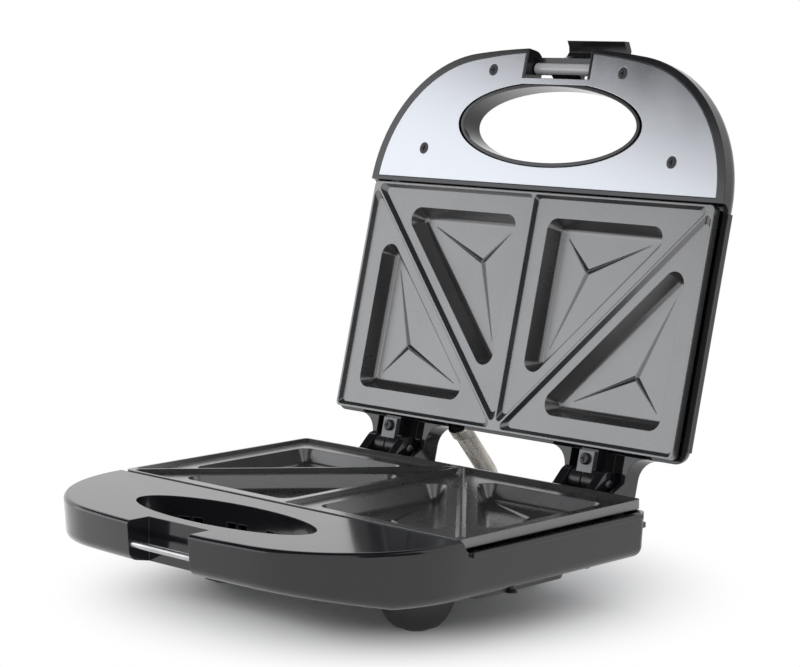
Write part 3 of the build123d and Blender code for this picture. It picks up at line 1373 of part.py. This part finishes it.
bounds = Compound([solid for solids in nodes.values() for shape in solids
                   for solid in shape.solids()]).bounding_box()
TO_TABLE = Pos(0, -(bounds.min.Y + bounds.max.Y) / 2, RIM_HEIGHT)

os.makedirs("parts", exist_ok=True)
for name, solids in nodes.items():
    placed = [TO_TABLE * solid for shape in solids for solid in shape.solids()]
    export_step(placed[0] if len(placed) == 1 else Compound(placed), f"parts/{name}.step")

AXLE = swung((PIVOT_Y, PIVOT_Z), -OPEN_ANGLE)
print(f"shift in y {-(bounds.min.Y + bounds.max.Y) / 2:.4f}, height {bounds.max.Z + RIM_HEIGHT:.2f}")
print(f"before the shift: hinge axis y {HINGE_Y}, z {HINGE_Z}; latch axle y {AXLE[0]:.4f}, z {AXLE[1]:.4f}")
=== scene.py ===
import math

import bpy
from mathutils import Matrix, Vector


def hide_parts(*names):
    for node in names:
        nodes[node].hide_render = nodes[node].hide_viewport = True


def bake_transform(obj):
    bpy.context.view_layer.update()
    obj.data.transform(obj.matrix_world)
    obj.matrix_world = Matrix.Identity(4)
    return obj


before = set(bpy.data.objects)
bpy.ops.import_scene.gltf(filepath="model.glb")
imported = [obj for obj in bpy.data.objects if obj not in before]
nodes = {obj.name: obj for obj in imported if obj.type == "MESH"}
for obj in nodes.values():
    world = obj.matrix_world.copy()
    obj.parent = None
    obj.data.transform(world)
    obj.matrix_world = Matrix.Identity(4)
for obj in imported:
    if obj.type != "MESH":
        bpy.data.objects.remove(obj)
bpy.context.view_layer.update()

MM = 0.001

# Places on the toaster, in metres in the shared frame
HINGE = Vector((0.0, 59.486 * MM, 49.0 * MM))
LATCH_AXLE = Vector((0.0, 117.017 * MM, 234.711 * MM))
HOSE_START = Vector((-29.0, 73.421, 59.547)) * MM     # where the conduit leaves the lid
HOSE_END = Vector((-29.0, 45.786, 35.4)) * MM         # and where it enters the base
HOSE_HEADING = math.radians(-51.2)                    # from +Y up, at the two ends
HOSE_ARRIVAL = math.radians(-210.0)
HOSE_STRAIGHT = 28.0 * MM
HOSE_BEND = 12.7 * MM
HOSE_GRIP = 2.5 * MM                                  # length inside each end piece

# Radii of the two barrels coloured apart from the rest of their parts, measured from their axes: the latch
# barrel's light grey is a painted reflection, the hinge barrel's black is its own colour
LATCH_PAINTED_REFLECTION_R = 3.03 * MM
HINGE_BARREL_R = 5.45 * MM
MASK_EDGE = 0.03 * MM

WELD = 0.002 * MM
CREASE = math.radians(24)

# Studio, in metres from the origin on the floor
FLOOR_HALF = 6.0
SHADOW_NEAR, SHADOW_FAR = 0.07, 0.165                 # the floor turns from shaded to glowing
SHEETS_CENTRE = Vector((0.0, 0.0, 0.12))


# ---------------------------------------------------------------- node helpers

def add_node(tree, kind, inputs=None, **settings):
    """New node in a tree: inputs are sockets to link or values, settings are its properties."""
    made = tree.nodes.new(kind)
    for key, value in settings.items():
        setattr(made, key, value)
    for key, value in (inputs or {}).items():
        if isinstance(value, bpy.types.NodeSocket):
            tree.links.new(value, made.inputs[key])
        else:
            made.inputs[key].default_value = value
    return made


class Finish:
    """A node material for one of the toaster's surfaces."""

    def __init__(self, name):
        self.material = bpy.data.materials.new(name)
        self.material.use_nodes = True
        self.tree = self.material.node_tree
        self.shader = self.tree.nodes["Principled BSDF"]
        self.place = self.node("ShaderNodeTexCoord").outputs["Object"]

    def node(self, kind, inputs=None, **settings):
        return add_node(self.tree, kind, inputs, **settings)

    def set(self, **values):
        for key, value in values.items():
            socket = self.shader.inputs[key.replace("_", " ")]
            if isinstance(value, bpy.types.NodeSocket):
                self.tree.links.new(value, socket)
            elif key == "Base_Color":
                socket.default_value = (*value, 1.0)
            else:
                socket.default_value = value

    def noise(self, scale, detail=3.0, roughness=0.5, stretch=(1.0, 1.0, 1.0)):
        """Grey noise, finer with a larger scale, drawn out along an axis by a small stretch."""
        mapping = self.node("ShaderNodeMapping", {"Vector": self.place, "Scale": stretch})
        texture = self.node("ShaderNodeTexNoise", {"Vector": mapping.outputs[0], "Scale": scale,
                                                   "Detail": detail, "Roughness": roughness})
        return texture.outputs["Fac"]

    def spread(self, value, low, high, start=0.3, stop=0.7):
        """The value's middle range mapped to a low and a high number."""
        node = self.node("ShaderNodeMapRange", {"Value": value, "From Min": start, "From Max": stop,
                                                "To Min": low, "To Max": high})
        return node.outputs[0]

    def blend(self, amount, low, high):
        """Colour between two colours."""
        ends = [end if isinstance(end, bpy.types.NodeSocket) else (*end, 1.0) for end in (low, high)]
        node = self.node("ShaderNodeMix", {0: amount, 6: ends[0], 7: ends[1]}, data_type="RGBA")
        return node.outputs[2]

    def maths(self, operation, a, b=0.0):
        return self.node("ShaderNodeMath", {0: a, 1: b}, operation=operation).outputs[0]

    def soft_edges(self, radius):
        """Normal that rounds every edge by a small radius."""
        return self.node("ShaderNodeBevel", {"Radius": radius}, samples=6).outputs[0]

    def edge_wear(self, radius, low=0.02, high=0.2):
        """Grey that is 1 on worn edges and 0 on flat faces."""
        rounded = self.soft_edges(radius)
        plain = self.node("ShaderNodeNewGeometry").outputs["Normal"]
        dot = self.node("ShaderNodeVectorMath", {0: rounded, 1: plain}, operation="DOT_PRODUCT")
        return self.spread(self.maths("SUBTRACT", 1.0, dot.outputs["Value"]), 0.0, 1.0, low, high)

    def inside(self, axis, radius):
        """1 within a radius of an axis that runs across the toaster, 0 outside it."""
        apart = self.node("ShaderNodeVectorMath", {0: self.place, 1: tuple(axis)}, operation="SUBTRACT")
        across = self.node("ShaderNodeVectorMath", {0: apart.outputs[0], 1: (0.0, 1.0, 1.0)},
                           operation="MULTIPLY")
        reach = self.node("ShaderNodeVectorMath", {0: across.outputs[0]}, operation="LENGTH")
        return self.spread(reach.outputs["Value"], 1.0, 0.0, radius, radius + MASK_EDGE)

    def relief(self, height, strength, distance, normal=None):
        inputs = {"Height": height, "Strength": strength, "Distance": distance}
        if normal is not None:
            inputs["Normal"] = normal
        self.set(Normal=self.node("ShaderNodeBump", inputs).outputs[0])


def gloss_black():
    """Injection-moulded gloss black shell: flow ripple, dust haze, rubbed edges."""
    finish = Finish("gloss black shell")
    haze = finish.noise(38.0, 5.0, 0.62)
    ripple = finish.noise(9.0, 2.0)
    wear = finish.edge_wear(0.0007)
    finish.set(Base_Color=finish.blend(wear, (0.0085, 0.0085, 0.0105), (0.03, 0.03, 0.034)),
               Roughness=finish.spread(haze, 0.1, 0.15),
               IOR=1.5, Coat_Weight=0.2, Coat_Roughness=0.04)
    finish.relief(ripple, 0.05, 0.0005, finish.soft_edges(0.0005))
    return finish.material


def satin_black():
    """Spark-eroded satin black of the underside and small bushes."""
    finish = Finish("satin black underside")
    grain = finish.noise(900.0, 4.0, 0.6)
    finish.set(Base_Color=finish.blend(finish.noise(60.0), (0.018, 0.018, 0.02), (0.028, 0.028, 0.03)),
               Roughness=finish.spread(grain, 0.38, 0.5))
    finish.relief(grain, 0.25, 0.0001, finish.soft_edges(0.0005))
    return finish.material


def non_stick():
    """Sprayed non-stick coating on cast aluminium: fine orange peel and metallic specks."""
    finish = Finish("non-stick coating")
    peel = finish.noise(520.0, 3.0, 0.55)
    cloud = finish.noise(26.0, 4.0, 0.6)
    specks = finish.spread(finish.noise(2600.0, 2.0), 0.0, 1.0, 0.62, 0.72)
    wear = finish.edge_wear(0.0005, 0.05, 0.3)
    coat = finish.blend(finish.spread(cloud, 0.0, 1.0), (0.145, 0.145, 0.148), (0.17, 0.17, 0.173))
    coat = finish.blend(finish.maths("MULTIPLY", specks, 0.2), coat, (0.32, 0.32, 0.32))
    finish.set(Base_Color=finish.blend(finish.maths("MULTIPLY", wear, 0.35), coat, (0.4, 0.4, 0.41)),
               Metallic=0.85, Roughness=finish.spread(cloud, 0.25, 0.31), IOR=1.5,
               Coat_Weight=0.6, Coat_Roughness=0.16)
    finish.relief(peel, 0.08, 0.0001, finish.soft_edges(0.0005))
    return finish.material


def panel_metal():
    """Bright sheet of the lid's handle, brushed across and lightly smudged."""
    finish = Finish("handle panel metal")
    grain = finish.noise(300.0, 3.0, 0.6, (0.06, 1.0, 1.0))
    smudge = finish.noise(22.0, 4.0, 0.65)
    finish.set(Base_Color=finish.blend(finish.spread(smudge, 0.0, 1.0), (0.435, 0.445, 0.475),
                                       (0.465, 0.475, 0.505)),
               Metallic=1.0, Roughness=finish.spread(smudge, 0.14, 0.2))
    finish.relief(grain, 0.05, 0.00005, finish.soft_edges(0.0003))
    return finish.material


def drawn_steel(name, colour, roughness, scale=700.0):
    """Bare steel with fine drawing marks and darker stains."""
    finish = Finish(name)
    marks = finish.noise(scale, 3.0, 0.6, (0.1, 1.0, 1.0))
    stain = finish.noise(60.0, 4.0, 0.6)
    dark = tuple(0.72 * part for part in colour)
    finish.set(Base_Color=finish.blend(finish.spread(stain, 0.0, 1.0), dark, colour),
               Metallic=1.0, Roughness=finish.spread(marks, roughness, roughness + 0.14))
    finish.relief(marks, 0.1, 0.00005, finish.soft_edges(0.0003))
    return finish.material


def black_steel():
    """Blackened screw steel, brighter on the edges of the cross."""
    finish = Finish("blackened screw steel")
    wear = finish.edge_wear(0.0003, 0.02, 0.3)
    finish.set(Base_Color=finish.blend(wear, (0.03, 0.03, 0.032), (0.2, 0.2, 0.2)), Metallic=0.6,
               Roughness=finish.spread(finish.noise(400.0), 0.3, 0.42))
    finish.relief(finish.noise(1500.0), 0.15, 0.00005, finish.soft_edges(0.0002))
    return finish.material


def shield_sheet():
    """Rolled aluminium sheet of the heat shields."""
    finish = Finish("rolled aluminium sheet")
    roll = finish.noise(240.0, 3.0, 0.6, (1.0, 0.05, 1.0))
    finish.set(Base_Color=finish.blend(finish.noise(30.0), (0.6, 0.61, 0.62), (0.72, 0.73, 0.74)),
               Metallic=1.0, Roughness=finish.spread(roll, 0.3, 0.42))
    finish.relief(roll, 0.1, 0.00005)
    return finish.material


def ceramic():
    """Unglazed white ceramic with pores."""
    finish = Finish("unglazed ceramic")
    pores = finish.noise(1200.0, 4.0)
    finish.set(Base_Color=finish.blend(finish.noise(90.0), (0.72, 0.69, 0.62), (0.8, 0.78, 0.72)),
               Roughness=finish.spread(pores, 0.6, 0.8))
    finish.relief(pores, 0.3, 0.0001)
    return finish.material


def rubber():
    """Dull rubber of the foot pads."""
    finish = Finish("foot pad rubber")
    dust = finish.noise(500.0, 4.0)
    finish.set(Base_Color=finish.blend(dust, (0.02, 0.02, 0.02), (0.04, 0.04, 0.04)),
               Roughness=finish.spread(dust, 0.7, 0.85))
    finish.relief(dust, 0.3, 0.0001)
    return finish.material


def lens(name, colour):
    """Tinted clear lens with a faint moulded grain."""
    finish = Finish(name)
    grain = finish.noise(700.0, 2.0)
    deep = tuple(0.55 * part for part in colour)
    finish.set(Base_Color=finish.blend(finish.noise(200.0), deep, colour),
               Roughness=finish.spread(grain, 0.1, 0.18), Transmission_Weight=0.35, IOR=1.49,
               Coat_Weight=0.5, Coat_Roughness=0.05)
    finish.relief(grain, 0.08, 0.0001)
    return finish.material


def lamp_glass():
    """Clear glow-lamp glass with a smoky end."""
    finish = Finish("glow lamp glass")
    finish.set(Base_Color=finish.blend(finish.noise(400.0), (0.75, 0.6, 0.5), (0.9, 0.85, 0.8)),
               Roughness=finish.spread(finish.noise(300.0), 0.05, 0.12), Transmission_Weight=0.8, IOR=1.5)
    return finish.material


def latch_black():
    """Gloss black latch whose barrel is painted light grey, a painted reflection of the bright light on the
    gloss barrel.
    """
    finish = Finish("latch with painted barrel reflection")
    wear = finish.edge_wear(0.0007)
    black = finish.blend(wear, (0.013, 0.013, 0.014), (0.05, 0.05, 0.053))
    # painted reflection: within this radius the barrel is coloured light grey to stand in for the bright
    # light it reflects
    barrel = finish.inside(LATCH_AXLE, LATCH_PAINTED_REFLECTION_R)
    finish.set(Base_Color=finish.blend(barrel, black, (0.42, 0.42, 0.43)),
               Roughness=finish.spread(finish.noise(60.0, 4.0), 0.16, 0.26), IOR=1.5)
    finish.relief(finish.noise(30.0), 0.06, 0.0004, finish.soft_edges(0.0005))
    return finish.material


def hinge_paint():
    """Grey leaf of the hinge bracket, with the barrel round the pin in gloss black."""
    finish = Finish("hinge bracket paint")
    barrel = finish.inside(HINGE, HINGE_BARREL_R)
    grey = finish.blend(finish.edge_wear(0.0004), (0.12, 0.12, 0.122), (0.26, 0.26, 0.26))
    finish.set(Base_Color=finish.blend(barrel, grey, (0.012, 0.012, 0.013)),
               Metallic=finish.maths("SUBTRACT", 0.6, finish.maths("MULTIPLY", barrel, 0.6)),
               Roughness=finish.spread(finish.noise(260.0, 3.0), 0.24, 0.36))
    finish.relief(finish.noise(900.0), 0.12, 0.00005, finish.soft_edges(0.0003))
    return finish.material


# ---------------------------------------------------------------- finishes by node

SHELL = gloss_black()
UNDERSIDE = satin_black()
COATING = non_stick()
STEEL = drawn_steel("drawn steel", (0.56, 0.56, 0.57), 0.24)
ELEMENT = drawn_steel("heated element steel", (0.34, 0.31, 0.29), 0.38)
NICKEL = drawn_steel("conduit nickel", (0.60, 0.565, 0.52), 0.22, 1400.0)
BLACK_STEEL = black_steel()
PAINT = hinge_paint()
SHEET = shield_sheet()
CERAMIC = ceramic()

finishes = {
    "base_housing": SHELL, "lid_housing": SHELL, "lid_top_cover": SHELL,
    "bottom_cover": UNDERSIDE, "supply_cord_gland": UNDERSIDE,
    "lid_handle_panel": panel_metal(), "latch": latch_black(),
    "lower_plate": COATING, "upper_plate": COATING,
    "lower_heat_shield": SHEET, "upper_heat_shield": SHEET,
    "lower_heating_element": ELEMENT, "upper_heating_element": ELEMENT,
    "lower_heater_insulators": CERAMIC, "upper_heater_insulators": CERAMIC, "terminal_block": CERAMIC,
    "foot_pads": rubber(), "panel_screws": BLACK_STEEL, "bracket_screws": BLACK_STEEL,
    "cover_screws": BLACK_STEEL, "hinge_bracket_left": PAINT, "hinge_bracket_right": PAINT,
    "lower_plate_screws": BLACK_STEEL, "upper_plate_screws": BLACK_STEEL,
    "power_lens": lens("red lens", (0.75, 0.03, 0.02)), "ready_lens": lens("green lens", (0.05, 0.5, 0.1)),
    "indicator_lamps": lamp_glass(), "conduit": NICKEL,
    "lower_conduit_gland": UNDERSIDE, "upper_conduit_ferrule": NICKEL,
}
for name, piece in nodes.items():
    piece.data.materials.clear()
    piece.data.materials.append(finishes.get(name, STEEL))


# ---------------------------------------------------------------- shading of the moulded and cast forms

def shading_tree():
    """Joins the solids' triangles and shades them smooth, with creases above an angle."""
    tree = bpy.data.node_groups.new("smooth with creases", "GeometryNodeTree")
    tree.interface.new_socket("Geometry", in_out="INPUT", socket_type="NodeSocketGeometry")
    crease = tree.interface.new_socket("Crease angle", in_out="INPUT", socket_type="NodeSocketFloat")
    crease.default_value = CREASE
    tree.interface.new_socket("Geometry", in_out="OUTPUT", socket_type="NodeSocketGeometry")
    given = add_node(tree, "NodeGroupInput").outputs
    merge = add_node(tree, "GeometryNodeMergeByDistance", {"Geometry": given["Geometry"], "Distance": WELD})
    smooth = add_node(tree, "GeometryNodeSetShadeSmooth", {"Geometry": merge.outputs[0]})
    angle = add_node(tree, "GeometryNodeInputMeshEdgeAngle").outputs["Unsigned Angle"]
    over = add_node(tree, "FunctionNodeCompare", {0: angle, 1: given["Crease angle"]},
                    data_type="FLOAT", operation="GREATER_THAN")
    sharp = add_node(tree, "GeometryNodeSetShadeSmooth",
                     {"Geometry": smooth.outputs[0], "Selection": over.outputs[0], "Shade Smooth": False},
                     domain="EDGE")
    add_node(tree, "NodeGroupOutput", {0: sharp.outputs[0]})
    return tree


SMOOTH = shading_tree()
for piece in nodes.values():
    piece.modifiers.new("smooth with creases", "NODES").node_group = SMOOTH
    flat = piece.modifiers.new("flat faces stay flat", "WEIGHTED_NORMAL")
    flat.keep_sharp = True


# ---------------------------------------------------------------- ribbed conduit

def ahead(angle):
    """Direction at an angle from +Y up."""
    return Vector((0.0, math.cos(angle), math.sin(angle)))


def beside(angle):
    """Direction square to it, on the inner side of a bend that turns down."""
    return Vector((0.0, math.sin(angle), -math.cos(angle)))


def route():
    """Centreline of the conduit as a Bezier curve: straight, one round bend, straight."""
    middle = (HOSE_HEADING + HOSE_ARRIVAL) / 2
    corner = HOSE_START + HOSE_STRAIGHT * ahead(HOSE_HEADING)
    centre = corner + HOSE_BEND * beside(HOSE_HEADING)
    reach = 4 / 3 * HOSE_BEND * math.tan((HOSE_HEADING - HOSE_ARRIVAL) / 8)
    stops = [(HOSE_START - HOSE_GRIP * ahead(HOSE_HEADING), HOSE_HEADING), (corner, HOSE_HEADING),
             (centre - HOSE_BEND * beside(middle), middle),
             (centre - HOSE_BEND * beside(HOSE_ARRIVAL), HOSE_ARRIVAL),
             (HOSE_END + HOSE_GRIP * ahead(HOSE_ARRIVAL), HOSE_ARRIVAL)]
    data = bpy.data.curves.new("conduit route", "CURVE")
    data.dimensions = "3D"
    data.resolution_u = 24
    spline = data.splines.new("BEZIER")
    spline.bezier_points.add(len(stops) - 1)
    for knot, (place, heading) in zip(spline.bezier_points, stops):
        knot.co = place
        knot.handle_left = place - reach * ahead(heading)
        knot.handle_right = place + reach * ahead(heading)
    return bpy.data.objects.new("conduit route", data)


def ribs_tree():
    """Tube of wound ribs along a curve."""
    tree = bpy.data.node_groups.new("ribbed conduit", "GeometryNodeTree")
    socket = tree.interface.new_socket
    socket("Geometry", in_out="INPUT", socket_type="NodeSocketGeometry")
    for label, kind, value in (("Route", "Object", None), ("Outer radius", "Float", 4.78 * MM),
                               ("Groove depth", "Float", 0.42 * MM), ("Pitch", "Float", 0.8 * MM),
                               ("Steps in a rib", "Int", 6), ("Sides", "Int", 28),
                               ("Finish", "Material", None)):
        made = socket(label, in_out="INPUT", socket_type="NodeSocket" + kind)
        if value is not None:
            made.default_value = value
    socket("Geometry", in_out="OUTPUT", socket_type="NodeSocketGeometry")

    def node(kind, inputs=None, **settings):
        return add_node(tree, kind, inputs, **settings)

    def maths(operation, a, b=0.0):
        return node("ShaderNodeMath", {0: a, 1: b}, operation=operation).outputs[0]

    given = node("NodeGroupInput").outputs
    path = node("GeometryNodeObjectInfo", {"Object": given["Route"]}).outputs["Geometry"]
    step = maths("DIVIDE", given["Pitch"], given["Steps in a rib"])
    fine = node("GeometryNodeResampleCurve", {"Curve": path, "Length": step}, mode="LENGTH")
    along = node("GeometryNodeSplineParameter").outputs["Length"]
    phase = maths("MULTIPLY", maths("DIVIDE", along, given["Pitch"]), 2 * math.pi)
    valley = maths("POWER", maths("ADD", maths("MULTIPLY", maths("COSINE", phase), 0.5), 0.5), 2.0)
    radius = maths("SUBTRACT", given["Outer radius"], maths("MULTIPLY", valley, given["Groove depth"]))
    ring = node("GeometryNodeCurvePrimitiveCircle", {"Resolution": given["Sides"], "Radius": 1.0})
    tube = node("GeometryNodeCurveToMesh", {"Curve": fine.outputs[0], "Profile Curve": ring.outputs[0],
                                            "Scale": radius, "Fill Caps": True})
    real = node("GeometryNodeRealizeInstances", {"Geometry": tube.outputs[0]})
    painted = node("GeometryNodeSetMaterial", {"Geometry": real.outputs[0], "Material": given["Finish"]})
    node("NodeGroupOutput", {0: painted.outputs[0]})
    return tree


def conduit():
    """The ribbed conduit, which bends between the lid and the base."""
    path = route()
    bpy.context.scene.collection.objects.link(path)
    seed = bpy.data.objects.new("conduit maker", bpy.data.meshes.new("conduit maker"))
    bpy.context.scene.collection.objects.link(seed)
    tree = ribs_tree()
    maker = seed.modifiers.new("ribbed conduit", "NODES")
    maker.node_group = tree
    sockets = {item.name: item.identifier for item in tree.interface.items_tree if item.in_out == "INPUT"}
    maker[sockets["Route"]] = path
    maker[sockets["Finish"]] = NICKEL
    bpy.context.view_layer.update()
    graph = bpy.context.evaluated_depsgraph_get()
    mesh = bpy.data.meshes.new_from_object(seed.evaluated_get(graph))
    mesh.name = "ribbed conduit"
    bpy.data.objects.remove(seed)
    bpy.data.objects.remove(path)
    for face in mesh.polygons:
        face.use_smooth = True
    piece = bpy.data.objects.new("ribbed_conduit", mesh)
    bpy.context.scene.collection.objects.link(piece)
    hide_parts("conduit")
    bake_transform(piece)


conduit()


# ---------------------------------------------------------------- studio

def glow(name, colour, strength):
    """Even light from a material."""
    material = bpy.data.materials.new(name)
    material.use_nodes = True
    tree = material.node_tree
    light = add_node(tree, "ShaderNodeEmission", {"Color": (*colour, 1.0), "Strength": strength})
    tree.links.new(light.outputs[0], tree.nodes["Material Output"].inputs[0])
    return material


def sheet(name, corners, material):
    """Flat staged sheet through four corners."""
    mesh = bpy.data.meshes.new(name)
    mesh.from_pydata(corners, [], [(0, 1, 2, 3)])
    made = bpy.data.objects.new(name, mesh)
    made.data.materials.append(material)
    bpy.context.scene.collection.objects.link(made)
    return made


def floor():
    """Light table: white and glowing, except near the toaster, where it takes the soft shadow."""
    material = bpy.data.materials.new("light table")
    material.use_nodes = True
    tree = material.node_tree
    shader = tree.nodes["Principled BSDF"]
    shader.inputs["Base Color"].default_value = (0.9, 0.9, 0.9, 1.0)
    shader.inputs["Roughness"].default_value = 0.9
    place = add_node(tree, "ShaderNodeTexCoord").outputs["Object"]
    reach = add_node(tree, "ShaderNodeVectorMath", {0: place}, operation="LENGTH").outputs["Value"]
    fade = add_node(tree, "ShaderNodeMapRange",
                    {"Value": reach, "From Min": SHADOW_NEAR, "From Max": SHADOW_FAR},
                    interpolation_type="SMOOTHSTEP")
    light = add_node(tree, "ShaderNodeEmission")
    mix = add_node(tree, "ShaderNodeMixShader",
                   {0: fade.outputs[0], 1: shader.outputs[0], 2: light.outputs[0]})
    tree.links.new(mix.outputs[0], tree.nodes["Material Output"].inputs[0])
    half = FLOOR_HALF
    sheet("floor", [(-half, -half, 0), (half, -half, 0), (half, half, 0), (-half, half, 0)], material)


def facing(name, azimuth, low, high, width, distance, material):
    """Sheet round the toaster, at an azimuth, between two elevations, hidden from the camera."""
    out = Vector((math.cos(math.radians(azimuth)), math.sin(math.radians(azimuth)), 0.0))
    across = Vector((-out.y, out.x, 0.0)) * width / 2

    def at(elevation, side):
        angle = math.radians(elevation)
        ray = out * math.cos(angle) + Vector((0.0, 0.0, math.sin(angle)))
        return tuple(distance * ray + side * across + SHEETS_CENTRE)

    made = sheet(name, [at(low, 1), at(low, -1), at(high, -1), at(high, 1)], material)
    made.visible_camera = False
    made.visible_diffuse = False
    made.visible_shadow = False


def lamp(name, place, aim, size, power):
    """Rectangular lamp at a place, turned towards a point."""
    data = bpy.data.lights.new(name, "AREA")
    data.shape = "RECTANGLE"
    data.size, data.size_y = size
    data.energy = power
    light = bpy.data.objects.new(name, data)
    light.location = place
    light.rotation_euler = (Vector(aim) - Vector(place)).to_track_quat("-Z", "Y").to_euler()
    bpy.context.scene.collection.objects.link(light)


def studio():
    """White surroundings, and the sheets and the lamp that shape the reflections."""
    floor()
    world = bpy.data.worlds.new("studio")
    bpy.context.scene.world = world
    world.use_nodes = True
    tree = world.node_tree
    background = tree.nodes["Background"]
    background.inputs["Color"].default_value = (0.97, 0.98, 1.0, 1.0)
    background.inputs["Strength"].default_value = 0.9
    seen = add_node(tree, "ShaderNodeBackground", {"Color": (1.0, 1.0, 1.0, 1.0)})
    path = add_node(tree, "ShaderNodeLightPath").outputs
    either = path["Is Camera Ray"]
    for ray in ("Is Glossy Ray", "Is Transmission Ray"):
        either = add_node(tree, "ShaderNodeMath", {0: either, 1: path[ray]}, operation="MAXIMUM").outputs[0]
    mix = add_node(tree, "ShaderNodeMixShader", {0: either, 1: background.outputs[0], 2: seen.outputs[0]})
    tree.links.new(mix.outputs[0], tree.nodes["World Output"].inputs[0])
    softbox = glow("softbox cloth", (0.96, 0.98, 1.0), 1.9)
    dark = glow("black cloth", (1.0, 1.0, 1.0), 0.015)
    facing("low softbox", -137.0, -4.0, 23.0, 1.9, 1.5, softbox)
    facing("flag over the softbox", -142.0, 26.0, 62.0, 1.9, 1.3, dark)
    facing("flag overhead", -142.0, 62.0, 118.0, 1.9, 1.3, dark)
    facing("flag beside the camera", -20.0, -9.0, 40.0, 0.62, 0.9, dark)
    lamp("left lamp", (-1.3, -1.1, 0.5), (0.0, 0.0, 0.1), (0.8, 0.4), 3.0)


def camera():
    """Camera at the photograph's viewing angle."""
    data = bpy.data.cameras.new("camera")
    data.sensor_width = 36.0
    data.lens = 110.06
    data.clip_end = 50.0
    view = bpy.data.objects.new("camera", data)
    place = Vector((784.9, -783.5, 269.1)) * MM
    target = Vector((101.54, -99.93, 136.71)) * MM
    view.location = place
    turn = (target - place).to_track_quat("-Z", "Y").to_euler()
    turn.rotate_axis("Z", math.radians(-0.10))
    view.rotation_euler = turn
    bpy.context.scene.collection.objects.link(view)
    bpy.context.scene.camera = view


studio()
camera()
bpy.context.scene.view_settings.view_transform = "Standard"
